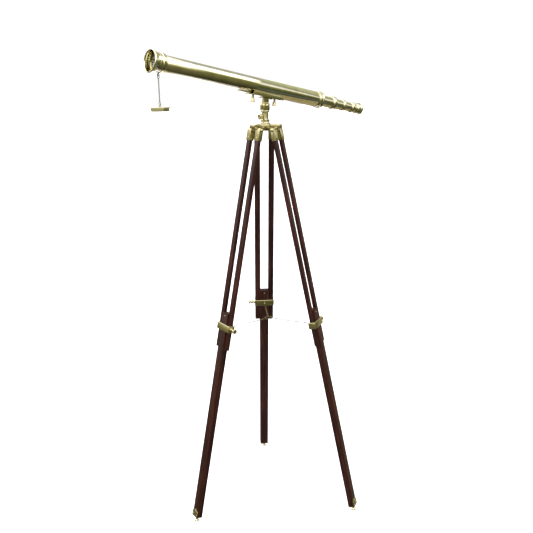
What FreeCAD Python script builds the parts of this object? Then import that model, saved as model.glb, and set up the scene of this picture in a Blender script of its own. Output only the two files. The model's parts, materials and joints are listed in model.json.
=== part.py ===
import FreeCAD, Part
import math
import os

from FreeCAD import Vector

# Floor-standing brass refractor on a folding wooden tripod.  Millimetres, +Z up.
# The telescope lies in the XZ plane: objective towards -X and raised, eyepiece towards +X.
# Telescope pieces are drawn along +X on a level axis and then tilted into place.
# Leg pieces are drawn hanging straight down from their hinge: +X outwards, +Y sideways.

# ---- overall ---------------------------------------------------------------
HINGE_HEIGHT = 1280.0       # leg hinge bolts above the floor
FOOT_RADIUS = 310.0         # centre of each foot pad from the tripod's axis
HINGE_RADIUS = 38.0         # leg hinge bolts from the tripod's axis
LEG_COUNT = 3
FIRST_LEG_AZIMUTH = 55.0
AXIS_RISE = 128.0           # telescope axis above the hinges, where it crosses the tripod's axis
ELEVATION = 10.5            # degrees that the objective is raised
TILT_RISE = 73.0            # tilt bolt above the leg hinges

RUN_GAP = 0.3               # between curved faces that move past each other
SHAFT_GAP = 0.06            # radial clearance of a pin or shaft in its hole
EPS = 0.01

# ---- tripod legs -----------------------------------------------------------
SLAT_WIDTH = 18.7
SLAT_THICK = 11.0
LEG_WIDTH = 65.0            # over both slats
SLAT_LENGTH = 704.0         # hinge to the slats' lower end
SLAT_TOP = 12.0             # slats start this far below the hinge
LOWER_LIP = 1.7             # lower leg's lips lap over each slat's inner edge
LOWER_THICK = 20.0
LOWER_TOP = 585.0           # hinge to the lower leg's upper end
LOWER_EDGE = 2.0            # chamfer on the lower leg

FERRULE_LENGTH = 33.0
FERRULE_WALL = 1.6
HINGE_BOLT_R = 2.5
HINGE_HEAD_R = 4.6
HINGE_HEAD_H = 3.2

BAND_Z = 634.0              # hinge to the middle of the leg clamp
BAND_HEIGHT = 22.0
BAND_WALL = 1.8
BAND_CORNER = 1.5
CLAMP_BOSS_R = 5.5
CLAMP_BOSS_L = 5.0
CLAMP_SCREW_R = 2.5
CLAMP_NECK_L = 12.0
CLAMP_BEAD_R = 5.4
CLAMP_HEAD_R = 7.6
CLAMP_HEAD_L = 5.0
CLAMP_FLUTES = 16
FLUTE_R = 0.8

# ---- spreader --------------------------------------------------------------
EYE_R = 3.4                 # middle radius of the eye on each leg clamp
EYE_WIRE = 1.2
EYE_STAND = 5.6             # eye centre in front of the clamp's inner face
CHAIN_LINKS = 17            # odd, so that both end links lie flat
LINK_WIDTH = 6.5
LINK_WIRE = 0.8
LINK_SLACK = 0.12
RING_R = 12.6
RING_WIRE = 1.4
RING_LINK_OUT = 25.0        # outer wire centre of each long link on the ring

# ---- feet ------------------------------------------------------------------
SHOE_HEIGHT = 27.0
SHOE_POINT = 9.0
SHOE_SHOULDER = 0.45        # share of the point's width and height where its sides change slope
SHOE_THICK = 1.6
STUD_R = 3.2
STUD_NUT_R = 6.0
STUD_NUT_H = 3.0
PAD_R = 6.8
PAD_H = 7.5
PAD_PROFILE = ((0.0, 0.0), (0.85, 0.0), (1.0, 0.13), (1.0, 0.35), (0.8, 0.7), (0.5, 1.0), (0.0, 1.0))
PAD_SEAT = 0.6              # share of the pad's height that the stem stops above the floor
LEG_CLEAR = 18.0            # lower leg's end above the floor

# ---- tripod head -----------------------------------------------------------
PLATE_RISE = 6.0            # underside above the hinges
PLATE_THICK = 11.0
PLATE_R = 27.0
LOBE_GAP = 0.2              # between a lobe's side and the ferrules
LOBE_OUT = 45.0
LUG_RADIUS = 7.0
LUG_SCREW_R = 4.2
LUG_SCREW_H = 2.4
LUG_SCREW_OUT = 27.0
FLANGE_R = 15.5
FLANGE_HEIGHT = 14.0
# (added to the flange's radius, height above the plate)
FLANGE_PROFILE = ((0.0, 0.0), (0.0, 3.5), (-2.0, 5.5), (-2.6, 8.5), (-1.2, 11.0), (-1.2, 13.0))
SOCKET_R = 11.0
SOCKET_HEIGHT = 35.7
SOCKET_EDGE = 1.0
SPINDLE_R = 6.0
SPINDLE_RISE = 4.0          # spindle's end above the plate
COLLAR_R = 13.3
COLLAR_HEIGHT = 6.0
COLLAR_EDGE_LOW = 0.8
COLLAR_EDGE_HIGH = 1.6
YOKE_WIDTH = 22.0           # across the two cheeks
YOKE_SLOT = 9.0
YOKE_R = 11.0
TONGUE_GAP = 0.25
TILT_BOLT_R = 3.0
TILT_HEAD_R = 6.0
TILT_HEAD_H = 4.5
TILT_HEAD_EDGE = 1.3
AZ_KNOB_RISE = 23.0         # knob's middle above the plate
AZ_STEM_R = 2.5
AZ_KNOB_R = 8.6
AZ_KNOB_L = 10.0
AZ_KNOB_EDGE = 2.0
AZ_KNOB_FACE = 0.65         # share of the knob's radius that its flat ends take
AZ_KNOB_STAND = 4.0
AZ_FLUTES = 20

# ---- cradle under the telescope -------------------------------------------
CRADLE_FRONT = -55.0
CRADLE_LENGTH = 108.0
CRADLE_WIDTH = 40.0
CRADLE_WALL = 2.2
CRADLE_FLOOR = 2.8
CRADLE_EASE = 0.6           # between the side walls' top edge and the main tube
CRADLE_CORNER = 5.0
RAIL_FRONT = -101.0
RAIL_BACK = 78.0
RAIL_WIDTH = 13.0
RAIL_THICK = 2.7            # rail's flat underside below the main tube
RAIL_INTO = 2.4             # how far the rail's hollow top reaches up round the tube
RAIL_END_R = 6.0
TONGUE_EASE = 1.0           # hanger's eye inside the yoke's rounding
TONGUE_FOOT = 2.4           # thickness of the hanger's foot under the cradle
TONGUE_FOOT_L = 18.7        # half of the foot's length
THUMB_STATIONS = {"front": -42.0, "rear": 46.0}
THUMB_STEM_R = 2.5
THUMB_NECK_R = 4.0
THUMB_NECK_L = 7.5
THUMB_WAIST = 0.8           # share of the neck's radius left at its lower end
THUMB_TOP_R = 5.2
THUMB_BOTTOM_R = 7.6
THUMB_L = 12.5
THUMB_SHOULDER = 1.0
THUMB_EDGE_R = 0.8
THUMB_EDGE_H = 2.0

# ---- telescope, stations along the axis from the tripod's axis --------------
TUBE_R = 24.5
TUBE_WALL = 1.2
TUBE_FRONT = -386.0
TUBE_BACK = 236.0
MOUTH = -409.0
# (station behind the mouth, radius over the main tube)
HOOD_LIP = ((0.0, 4.3), (-1.6, 5.7))
HOOD_BEAD = (1.4, 4.9)
HOOD_BEAD_R = 2.9
HOOD_OUTSIDE = ((7.0, 4.5), (12.0, 3.9))
HOOD_INSIDE = ((9.0, 1.9), (5.0, 2.7))
HOOD_BACK = -390.0
HOOD_WALL = 1.2
CAP_BORE_OVER = 1.9         # bore for the dust cap, over the main tube
COLLAR_BACK = -368.0
COLLAR_OVER = 3.7
# (station behind the hood, radius under the collar's outside)
COLLAR_PROFILE = ((0.0, 0.0), (4.3, 0.0), (5.6, 1.7), (9.0, 1.7), (10.3, 0.0), (19.0, 0.0), (21.0, 1.0))
COLLAR_END_OVER = 0.6
LENS_UNDER = 1.9            # lens radius under the main tube
LENS_FRONT = -389.0
CROWN_EDGE = 4.0
CROWN_SAG = 2.2
FLINT_EDGE = 3.0
LENS_AIR = 0.2
RETAINER_L = 4.0
RETAINER_WALL = 2.4
BAFFLE_STATIONS = (-240.0, -60.0)
BAFFLE_BORE = 18.0
BAFFLE_L = 2.5

REAR_RING_FRONT = 214.0
REAR_RING_BACK = 243.0
# (station behind the ring's front, radius over the main tube)
REAR_PROFILE = ((6.0, 0.0), (7.0, 0.8), (18.0, 1.8), (20.0, 2.8), (27.0, 2.8), (29.0, 0.8))
REAR_BUSH_FRONT = 205.0

DRAW_WALL = 1.1
GUIDE_LENGTH = 6.0          # guide ring on the front end of a draw
BEAD_EDGE = 2.5             # flat edge on each side of a draw collar's bead
BEAD_FOOT = 0.35            # share of the collar's height at the foot of its bead
DRAWS = (
    # outer radius, front end, collar front, collar back, collar radius
    (17.6, 120.0, 292.0, 314.0, 21.9),
    (16.2, 195.0, 344.0, 360.0, 18.9),
    (14.8, 248.0, 388.0, 404.0, 18.6),
)
DRAW_STEM_BACK = 412.0
EYE_BELL_BACK = 442.0
EYE_BELL_R = 20.4
# (station behind the last draw's end, radius under the bell's rim)
EYE_BELL_OUTSIDE = ((0.0, 4.0), (3.0, 4.0), (5.0, 3.0), (16.0, 0.6), (19.0, 0.0), (25.0, 0.0), (28.5, 1.6),
                    (30.0, 3.4))
# (station in front of the bell's back, radius)
EYE_BELL_DISH = ((1.0, 16.5), (7.5, 13.5), (9.0, 6.5), (11.5, 6.5))
EYE_LENS_R = 9.0
EYE_LENS_EDGE = 3.0
EYE_LENS_SAG = 1.2
EYE_LENS_SEAT = 15.5        # eye lens in front of the bell's back
FIELD_LENS_STATION = 385.0
FIELD_LENS_SAG = 2.0
ERECTOR_FRONT = 198.0
ERECTOR_LENGTH = 16.0
ERECTOR_LENS_R = 10.0
ERECTOR_LENS_EDGE = 2.5
ERECTOR_LENS_SAG = 1.5

# ---- dust cap and its chain -------------------------------------------------
CAP_EYE_STATION = -378.7
CAP_EYE_R = 2.9
CAP_EYE_WIRE = 0.9
CAP_EYE_STEM = 3.6
CAP_LINK_LENGTH = 6.6
CAP_LINK_WIDTH = 4.4
CAP_LINK_WIRE = 0.55
CAP_RING_R = 4.6
CAP_RING_WIRE = 0.8
CAP_LINK_COUNT = 15
CAP_FLANGE_OVER = 2.0       # cap's flange over the bell's bore
CAP_FLANGE_H = 2.6
CAP_FLANGE_EDGE = 1.0
CAP_PLUG_EASE = 0.4         # cap's plug inside the bell's bore
CAP_PLUG_H = 8.6
CAP_WALL = 1.4
CAP_STEM_R = 1.2
CAP_STEM_L = 2.2

X = Vector(1, 0, 0)
Y = Vector(0, 1, 0)
Z = Vector(0, 0, 1)
ORIGIN = Vector(0, 0, 0)

AXIS_HEIGHT = HINGE_HEIGHT + AXIS_RISE
TILT_HEIGHT = HINGE_HEIGHT + TILT_RISE
PLATE_BOTTOM = HINGE_HEIGHT + PLATE_RISE
PLATE_TOP = PLATE_BOTTOM + PLATE_THICK
FLANGE_TOP = PLATE_TOP + FLANGE_HEIGHT
SOCKET_TOP = PLATE_TOP + SOCKET_HEIGHT
SPINDLE_BOTTOM = PLATE_TOP + SPINDLE_RISE
COLLAR_BOTTOM = SOCKET_TOP + RUN_GAP
COLLAR_TOP = COLLAR_BOTTOM + COLLAR_HEIGHT
AZ_KNOB_Z = PLATE_TOP + AZ_KNOB_RISE
LEG_ANGLE = math.degrees(math.atan2(FOOT_RADIUS - HINGE_RADIUS, HINGE_HEIGHT))
LEG_LENGTH = math.hypot(FOOT_RADIUS - HINGE_RADIUS, HINGE_HEIGHT)
SLAT_OFFSET = (LEG_WIDTH - SLAT_WIDTH) / 2
GAP = LEG_WIDTH - 2 * SLAT_WIDTH
LOBE_R = GAP / 2 - FERRULE_WALL - LOBE_GAP
LOWER_WIDTH = GAP + 2 * LOWER_LIP
LENS_R = TUBE_R - LENS_UNDER
CAP_BORE_R = TUBE_R + CAP_BORE_OVER
COLLAR_OUT_R = TUBE_R + COLLAR_OVER
RAIL_DROP = TUBE_R + RAIL_THICK
CRADLE_LOW = -RAIL_DROP - RUN_GAP - CRADLE_FLOOR
LOWER_LENGTH = LEG_LENGTH - LOWER_TOP - LEG_CLEAR / math.cos(math.radians(LEG_ANGLE))
CAP_LINK_PITCH = CAP_LINK_LENGTH - 4 * CAP_LINK_WIRE - LINK_SLACK

shapes = {}
points = {}


# ---- drawing helpers ---------------------------------------------------------
def box(x0, x1, y0, y1, z0, z1):
    return Part.makeBox(x1 - x0, y1 - y0, z1 - z0, Vector(x0, y0, z0))


def rod(radius, start, direction, length):
    return Part.makeCylinder(radius, length, start, direction)


def face_of(outline, place):
    corners = [place(a, b) for a, b in outline]
    return Part.Face(Part.makePolygon(corners + corners[:1]))


def turned(outline):
    """Solid of revolution about X from a closed outline of (station, radius)."""
    return face_of(outline, lambda s, r: Vector(s, 0, r)).revolve(ORIGIN, X, 360)


def turned_up(outline):
    """Solid of revolution about Z from a closed outline of (radius, height)."""
    return face_of(outline, lambda r, z: Vector(r, 0, z)).revolve(ORIGIN, Z, 360)


def arc_points(cx, cy, radius, start, end, count):
    """Points along an arc, angles in degrees."""
    result = []
    for i in range(count + 1):
        angle = math.radians(start + (end - start) * i / count)
        result.append((cx + radius * math.cos(angle), cy + radius * math.sin(angle)))
    return result


def upright_edges(shape):
    return [e for e in shape.Edges if abs(e.tangentAt(e.FirstParameter).z) > 0.9]


def link(length, width, wire, centre, along, flat):
    """One chain link, a round wire bent to a stadium; flat is the normal of its plane."""
    across = flat.cross(along)
    half = length / 2 - width / 2
    bend = width / 2 - wire
    ends = []
    for sign in (-1, 1):
        middle = centre + along * (sign * half)
        arc = Part.Arc(middle + across * bend, middle + along * (sign * bend), middle - across * bend)
        ends.append(arc.toShape())
    sides = []
    for sign in (-1, 1):
        offset = across * (sign * bend)
        sides.append(Part.makeLine(centre - along * half + offset, centre + along * half + offset))
    path = Part.Wire(Part.__sortEdges__(ends + sides))
    start = centre + across * bend
    section = Part.Wire(Part.makeCircle(wire, start, along))
    return path.makePipeShell([section], True, True)


def chain(start, along, normal, count, size, pitch):
    """Links in a row, turned a quarter each; the first wire centre lies at start."""
    length, width, wire = size
    across = along.cross(normal)
    links = []
    for i in range(count):
        centre = start + along * (length / 2 - wire + pitch * i)
        flat = normal if i % 2 == 0 else across
        links.append(link(length, width, wire, centre, along, flat))
    return links


def knurled(radius, count, depth, shape, axis_point, axis, length):
    """Cut flutes around a round knob."""
    side = axis.cross(Y) if abs(axis.dot(Y)) < 0.9 else axis.cross(X)
    for i in range(count):
        turn = FreeCAD.Rotation(axis, 360.0 * i / count)
        spot = axis_point + turn.multVec(side) * (radius + depth * 0.4) - axis * EPS
        shape = shape.cut(rod(depth, spot, axis, length + 2 * EPS))
    return shape


def leg_azimuth(i):
    return FIRST_LEG_AZIMUTH + 360.0 * i / LEG_COUNT


def keep(name, pieces, place=None):
    """Store a node from one solid or a list of separate solids, moved into place."""
    group = pieces if isinstance(pieces, list) else [pieces]
    shape = Part.makeCompound(group) if len(group) > 1 else group[0]
    if place is not None:
        shape = shape.transformed(place.toMatrix())
    shapes[name] = shape


# ---- placements --------------------------------------------------------------
def telescope_place():
    return FreeCAD.Placement(Vector(0, 0, AXIS_HEIGHT), FreeCAD.Rotation(Y, ELEVATION))


def leg_place(azimuth):
    lean = FreeCAD.Placement(Vector(HINGE_RADIUS, 0, HINGE_HEIGHT), FreeCAD.Rotation(Y, -LEG_ANGLE))
    return FreeCAD.Placement(ORIGIN, FreeCAD.Rotation(Z, azimuth)) * lean


def turned_to(azimuth):
    return FreeCAD.Placement(ORIGIN, FreeCAD.Rotation(Z, azimuth))


# ---- tripod legs ---------------------------------------------------------------
def leg_slats():
    slats = []
    for side in (-1, 1):
        middle = side * SLAT_OFFSET
        slats.append(box(-SLAT_THICK / 2, SLAT_THICK / 2, middle - SLAT_WIDTH / 2, middle + SLAT_WIDTH / 2,
                         -SLAT_LENGTH, -SLAT_TOP))
    return slats


def leg_ferrules():
    """A brass cap over the top of each slat, with a rounded ear bored for the hinge bolt."""
    ferrules = []
    for side in (-1, 1):
        middle = side * SLAT_OFFSET
        half_x = SLAT_THICK / 2 + FERRULE_WALL
        half_y = SLAT_WIDTH / 2 + FERRULE_WALL
        shell = box(-half_x, half_x, middle - half_y, middle + half_y, -FERRULE_LENGTH, 0)
        ear = rod(half_x, Vector(0, middle - half_y, 0), Y, 2 * half_y)
        slat = box(-SLAT_THICK / 2, SLAT_THICK / 2, middle - SLAT_WIDTH / 2, middle + SLAT_WIDTH / 2,
                   -FERRULE_LENGTH - 1, -SLAT_TOP)
        hole = rod(HINGE_BOLT_R + SHAFT_GAP, Vector(0, middle - half_y - 1, 0), Y, 2 * half_y + 2)
        ferrules.append(shell.fuse(ear).cut(slat).cut(hole).removeSplitter())
    return ferrules


def lower_leg():
    """Chamfered bar, grooved down both edges, that slides between the slats."""
    thick = LOWER_THICK / 2
    half = LOWER_WIDTH / 2
    bottom = -LOWER_TOP - LOWER_LENGTH
    bar = box(-thick, thick, -half, half, bottom, -LOWER_TOP)
    bar = bar.makeChamfer(LOWER_EDGE, upright_edges(bar))
    groove_x = SLAT_THICK / 2 + RUN_GAP
    groove_y = GAP / 2 - RUN_GAP
    for y0, y1 in ((-half - 1, -groove_y), (groove_y, half + 1)):
        bar = bar.cut(box(-groove_x, groove_x, y0, y1, bottom - 1, 1 - LOWER_TOP))
    return bar


def clamp_face():
    """The clamp band's outer face in front of the middle of the leg."""
    return LOWER_THICK / 2 + RUN_GAP + BAND_WALL


def clamp_band():
    """Cast band round both slats and the lower leg, with the screw boss and the chain's eye."""
    half_y = LEG_WIDTH / 2
    low = -BAND_Z - BAND_HEIGHT / 2
    high = -BAND_Z + BAND_HEIGHT / 2
    face = clamp_face()
    outer = box(-face, face, -half_y - BAND_WALL, half_y + BAND_WALL, low, high)
    outer = outer.makeFillet(BAND_CORNER, upright_edges(outer))
    slats = box(-SLAT_THICK / 2, SLAT_THICK / 2, -half_y, half_y, low - 1, high + 1)
    pass_x = LOWER_THICK / 2 + RUN_GAP
    pass_y = LOWER_WIDTH / 2 + RUN_GAP
    passage = box(-pass_x, pass_x, -pass_y, pass_y, low - 1, high + 1)
    boss = rod(CLAMP_BOSS_R, Vector(0, half_y + BAND_WALL - EPS, -BAND_Z), Y, CLAMP_BOSS_L)
    eye_x = -face - EYE_STAND
    eye = Part.makeTorus(EYE_R, EYE_WIRE, Vector(eye_x, 0, -BAND_Z), Y)
    stem = rod(EYE_WIRE, Vector(eye_x + EYE_R, 0, -BAND_Z), X, EYE_STAND - EYE_R + EPS)
    bore = rod(CLAMP_SCREW_R + SHAFT_GAP, Vector(0, half_y - 1, -BAND_Z), Y, BAND_WALL + CLAMP_BOSS_L + 2)
    band = outer.cut(slats).cut(passage).fuse(boss).fuse(eye).fuse(stem)
    return band.cut(bore).removeSplitter()


def clamp_screw():
    """Round-headed screw that pinches the slats on the lower leg."""
    tip = LEG_WIDTH / 2 + RUN_GAP
    face = LEG_WIDTH / 2 + BAND_WALL + CLAMP_BOSS_L + RUN_GAP
    head_y = face + CLAMP_NECK_L
    stem = rod(CLAMP_SCREW_R, Vector(0, tip, -BAND_Z), Y, head_y - tip + EPS)
    bead = Part.makeSphere(CLAMP_BEAD_R, Vector(0, face + CLAMP_BEAD_R, -BAND_Z))
    head = rod(CLAMP_HEAD_R, Vector(0, head_y, -BAND_Z), Y, CLAMP_HEAD_L)
    head = head.makeChamfer(FLUTE_R, head.Edges[:1] + head.Edges[2:3])
    head = knurled(CLAMP_HEAD_R, CLAMP_FLUTES, FLUTE_R, head, Vector(0, head_y, -BAND_Z), Y, CLAMP_HEAD_L)
    return stem.fuse(bead).fuse(head).removeSplitter()


def foot_shoe():
    """Pointed brass plate over the outer face of the leg's end, folded under it."""
    bottom = -LOWER_TOP - LOWER_LENGTH
    half = LOWER_WIDTH / 2
    face_x = LOWER_THICK / 2
    top = bottom + SHOE_HEIGHT
    outline = [(-half, bottom - SHOE_THICK), (half, bottom - SHOE_THICK), (half, top - SHOE_POINT)]
    shoulder = top - SHOE_POINT * (1 - SHOE_SHOULDER)
    outline += [(half * SHOE_SHOULDER, shoulder), (0, top), (-half * SHOE_SHOULDER, shoulder)]
    outline += [(-half, top - SHOE_POINT)]
    plate = face_of(outline, lambda y, z: Vector(face_x, y, z)).extrude(Vector(SHOE_THICK, 0, 0))
    sole = box(-face_x, face_x + EPS, -half, half, bottom - SHOE_THICK, bottom)
    return plate.fuse(sole).removeSplitter()


def foot_stud(azimuth):
    """Threaded stem under the sole and a domed pad that stands flat on the floor."""
    bottom = -LOWER_TOP - LOWER_LENGTH - SHOE_THICK
    place = leg_place(azimuth)
    start = place.multVec(Vector(0, 0, bottom))
    down = place.Rotation.multVec(-Z)
    out = turned_to(azimuth).multVec(Vector(FOOT_RADIUS, 0, 0))
    nut = rod(STUD_NUT_R, start, down, STUD_NUT_H)
    reach = (start.z - PAD_H * PAD_SEAT) / -down.z
    stem = rod(STUD_R, start, down, reach)
    pad = turned_up([(PAD_R * r, PAD_H * z) for r, z in PAD_PROFILE])
    pad.translate(out)
    return nut.fuse(stem).fuse(pad).removeSplitter()


# ---- spreader ------------------------------------------------------------------
def eye_point(azimuth):
    return leg_place(azimuth).multVec(Vector(-clamp_face() - EYE_STAND, 0, -BAND_Z))


def spreader_chain(azimuth):
    """Links from the clamp's eye to the long link on the ring, pulled taut."""
    eye = eye_point(azimuth)
    inward = turned_to(azimuth).multVec(-X)
    span = math.hypot(eye.x, eye.y) - RING_LINK_OUT + 2 * LINK_WIRE + LINK_SLACK
    overlap = 4 * LINK_WIRE + LINK_SLACK
    length = (span + (CHAIN_LINKS - 1) * overlap + 2 * LINK_WIRE) / CHAIN_LINKS
    return chain(eye, inward, Z, CHAIN_LINKS, (length, LINK_WIDTH, LINK_WIRE), length - overlap)


def spreader_ring():
    height = eye_point(0).z
    solids = [Part.makeTorus(RING_R, RING_WIRE, Vector(0, 0, height), Z)]
    inner = RING_R - RING_WIRE - LINK_WIRE - LINK_SLACK
    length = RING_LINK_OUT - inner + 2 * LINK_WIRE
    for i in range(LEG_COUNT):
        turn = turned_to(leg_azimuth(i))
        along = turn.multVec(X)
        centre = along * ((RING_LINK_OUT + inner) / 2) + Z * height
        solids.append(link(length, LINK_WIDTH, LINK_WIRE, centre, along, turn.multVec(Y)))
    return solids


# ---- tripod head ---------------------------------------------------------------
def hub_plate():
    """Three-lobed plate with a lug under each lobe for the hinge bolt."""
    plate = rod(PLATE_R, Vector(0, 0, PLATE_BOTTOM), Z, PLATE_TOP - PLATE_BOTTOM)
    lug_half = GAP / 2 - FERRULE_WALL - RUN_GAP
    for i in range(LEG_COUNT):
        turn = turned_to(leg_azimuth(i))
        lobe = rod(LOBE_R, Vector(LOBE_OUT, 0, PLATE_BOTTOM), Z, PLATE_TOP - PLATE_BOTTOM)
        arm = box(0, LOBE_OUT, -LOBE_R, LOBE_R, PLATE_BOTTOM, PLATE_TOP)
        lug = box(HINGE_RADIUS - LUG_RADIUS, HINGE_RADIUS + LUG_RADIUS, -lug_half, lug_half,
                  HINGE_HEIGHT, PLATE_BOTTOM + EPS)
        eye = rod(LUG_RADIUS, Vector(HINGE_RADIUS, -lug_half, HINGE_HEIGHT), Y, 2 * lug_half)
        hole = rod(HINGE_BOLT_R, Vector(HINGE_RADIUS, -lug_half - 1, HINGE_HEIGHT), Y, 2 * lug_half + 2)
        lobe_set = lobe.fuse(arm).fuse(lug).fuse(eye).cut(hole)
        plate = plate.fuse(lobe_set.transformed(turn.toMatrix()))
    return plate.removeSplitter()


def hinge_bolts():
    bolts = []
    half = LEG_WIDTH / 2 + FERRULE_WALL + RUN_GAP
    for i in range(LEG_COUNT):
        bolt = rod(HINGE_BOLT_R, Vector(HINGE_RADIUS, -half, HINGE_HEIGHT), Y, 2 * half)
        for side in (-1, 1):
            head = rod(HINGE_HEAD_R, Vector(HINGE_RADIUS, side * half, HINGE_HEIGHT), Y * side, HINGE_HEAD_H)
            bolt = bolt.fuse(head)
        bolts.append(bolt.removeSplitter().transformed(turned_to(leg_azimuth(i)).toMatrix()))
    return bolts


def hub_screws():
    screws = []
    for i in range(LEG_COUNT):
        head = rod(LUG_SCREW_R, Vector(LUG_SCREW_OUT, 0, PLATE_TOP), Z, LUG_SCREW_H)
        head = head.makeFillet(LUG_SCREW_H * 0.5, [e for e in head.Edges if e.BoundBox.ZMin > PLATE_TOP + 1])
        screws.append(head.transformed(turned_to(leg_azimuth(i)).toMatrix()))
    return screws


def base_socket():
    """Flanged barrel on the plate; the spindle turns in it."""
    bore = SPINDLE_R + SHAFT_GAP
    outline = [(0, PLATE_TOP)] + [(FLANGE_R + r, PLATE_TOP + z) for r, z in FLANGE_PROFILE]
    outline += [(SOCKET_R + SOCKET_EDGE, FLANGE_TOP), (SOCKET_R, FLANGE_TOP + SOCKET_EDGE)]
    outline += [(SOCKET_R, SOCKET_TOP - SOCKET_EDGE), (SOCKET_R - SOCKET_EDGE, SOCKET_TOP), (bore, SOCKET_TOP)]
    outline += [(bore, SPINDLE_BOTTOM - RUN_GAP), (0, SPINDLE_BOTTOM - RUN_GAP)]
    hole = rod(AZ_STEM_R + SHAFT_GAP, Vector(-SPINDLE_R - SHAFT_GAP, 0, AZ_KNOB_Z), -X, SOCKET_R)
    return turned_up(outline).cut(hole)


def swivel_post():
    """Spindle and collar that carry the yoke."""
    outline = [(0, SPINDLE_BOTTOM), (SPINDLE_R, SPINDLE_BOTTOM), (SPINDLE_R, COLLAR_BOTTOM)]
    outline += [(COLLAR_R - COLLAR_EDGE_LOW, COLLAR_BOTTOM), (COLLAR_R, COLLAR_BOTTOM + COLLAR_EDGE_LOW)]
    outline += [(COLLAR_R, COLLAR_TOP - COLLAR_EDGE_HIGH), (COLLAR_R - COLLAR_EDGE_HIGH, COLLAR_TOP)]
    outline += [(0, COLLAR_TOP)]
    return turned_up(outline)


def azimuth_knob():
    near = -SOCKET_R - AZ_KNOB_STAND
    far = near - AZ_KNOB_L
    stem = rod(AZ_STEM_R, Vector(-SPINDLE_R - RUN_GAP, 0, AZ_KNOB_Z), -X, -near - SPINDLE_R)
    flat = AZ_KNOB_R * AZ_KNOB_FACE
    head = turned([(far, 0), (far, flat), (far + AZ_KNOB_EDGE, AZ_KNOB_R), (near - AZ_KNOB_EDGE, AZ_KNOB_R),
                   (near, flat), (near, 0)])
    head.translate(Vector(0, 0, AZ_KNOB_Z))
    head = knurled(AZ_KNOB_R, AZ_FLUTES, FLUTE_R, head, Vector(far, 0, AZ_KNOB_Z), X, AZ_KNOB_L)
    return stem.fuse(head).removeSplitter()


def tilt_yoke():
    """Two round-topped cheeks on the collar, with a slot for the cradle's tongue."""
    half = YOKE_WIDTH / 2
    body = box(-YOKE_R, YOKE_R, -half, half, COLLAR_TOP, TILT_HEIGHT)
    top = rod(YOKE_R, Vector(0, -half, TILT_HEIGHT), Y, YOKE_WIDTH)
    slot_floor = TILT_HEIGHT - YOKE_R - RUN_GAP
    slot = box(-YOKE_R - 1, YOKE_R + 1, -YOKE_SLOT / 2, YOKE_SLOT / 2, slot_floor, TILT_HEIGHT + YOKE_R + 1)
    hole = rod(TILT_BOLT_R, Vector(0, -half - 1, TILT_HEIGHT), Y, YOKE_WIDTH + 2)
    return body.fuse(top).cut(slot).cut(hole).removeSplitter()


def tilt_bolt():
    half = YOKE_WIDTH / 2
    shank = rod(TILT_BOLT_R, Vector(0, -half, TILT_HEIGHT), Y, YOKE_WIDTH + TILT_HEAD_H)
    head = rod(TILT_HEAD_R, Vector(0, -half - TILT_HEAD_H, TILT_HEIGHT), Y, TILT_HEAD_H)
    head = head.makeFillet(TILT_HEAD_EDGE, [e for e in head.Edges if e.BoundBox.YMax < -half - 1])
    return shank.fuse(head).removeSplitter()


def tilt_nut():
    half = YOKE_WIDTH / 2
    nut = rod(TILT_HEAD_R, Vector(0, half, TILT_HEIGHT), Y, TILT_HEAD_H)
    nut = nut.makeFillet(TILT_HEAD_EDGE, [e for e in nut.Edges if e.BoundBox.YMin > half + 1])
    return nut.cut(rod(TILT_BOLT_R, Vector(0, half - 1, TILT_HEIGHT), Y, TILT_HEAD_H + 2))


# ---- cradle ----------------------------------------------------------------------
def cradle():
    """Open-topped channel: the rail lies on its floor and two thumbscrews hold it."""
    back = CRADLE_FRONT + CRADLE_LENGTH
    half = CRADLE_WIDTH / 2
    high = -math.sqrt((TUBE_R + CRADLE_EASE) ** 2 - (half - CRADLE_WALL) ** 2)
    channel = box(CRADLE_FRONT, back, -half, half, CRADLE_LOW, high)
    channel = channel.cut(box(CRADLE_FRONT - 1, back + 1, -half + CRADLE_WALL, half - CRADLE_WALL,
                              CRADLE_LOW + CRADLE_FLOOR, high + 1))
    corner_z = high - CRADLE_CORNER
    for x0, x1, round_x in ((CRADLE_FRONT - 1, CRADLE_FRONT + CRADLE_CORNER, CRADLE_FRONT + CRADLE_CORNER),
                            (back - CRADLE_CORNER, back + 1, back - CRADLE_CORNER)):
        square = box(x0, x1, -half - 1, half + 1, corner_z, high + 1)
        round_off = rod(CRADLE_CORNER, Vector(round_x, -half - 2, corner_z), Y, CRADLE_WIDTH + 4)
        channel = channel.cut(square.cut(round_off))
    for station in THUMB_STATIONS.values():
        below = Vector(station, 0, CRADLE_LOW - 1)
        channel = channel.cut(rod(THUMB_STEM_R + SHAFT_GAP, below, Z, CRADLE_FLOOR + 2))
    return channel


def cradle_tongue():
    """Hanger soldered under the cradle; its round end turns on the tilt bolt."""
    pivot = telescope_place().inverse().multVec(Vector(0, 0, TILT_HEIGHT))
    half = YOKE_SLOT / 2 - TONGUE_GAP
    radius = YOKE_R - TONGUE_EASE
    eye = rod(radius, Vector(pivot.x, -half, pivot.z), Y, 2 * half)
    web = box(pivot.x - radius, pivot.x + radius, -half, half, pivot.z, CRADLE_LOW)
    foot = box(pivot.x - TONGUE_FOOT_L, pivot.x + TONGUE_FOOT_L, -YOKE_WIDTH / 2, YOKE_WIDTH / 2,
               CRADLE_LOW - TONGUE_FOOT, CRADLE_LOW)
    hole = rod(TILT_BOLT_R + SHAFT_GAP, Vector(pivot.x, -half - 1, pivot.z), Y, 2 * half + 2)
    return eye.fuse(web).fuse(foot).cut(hole).removeSplitter()


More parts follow.
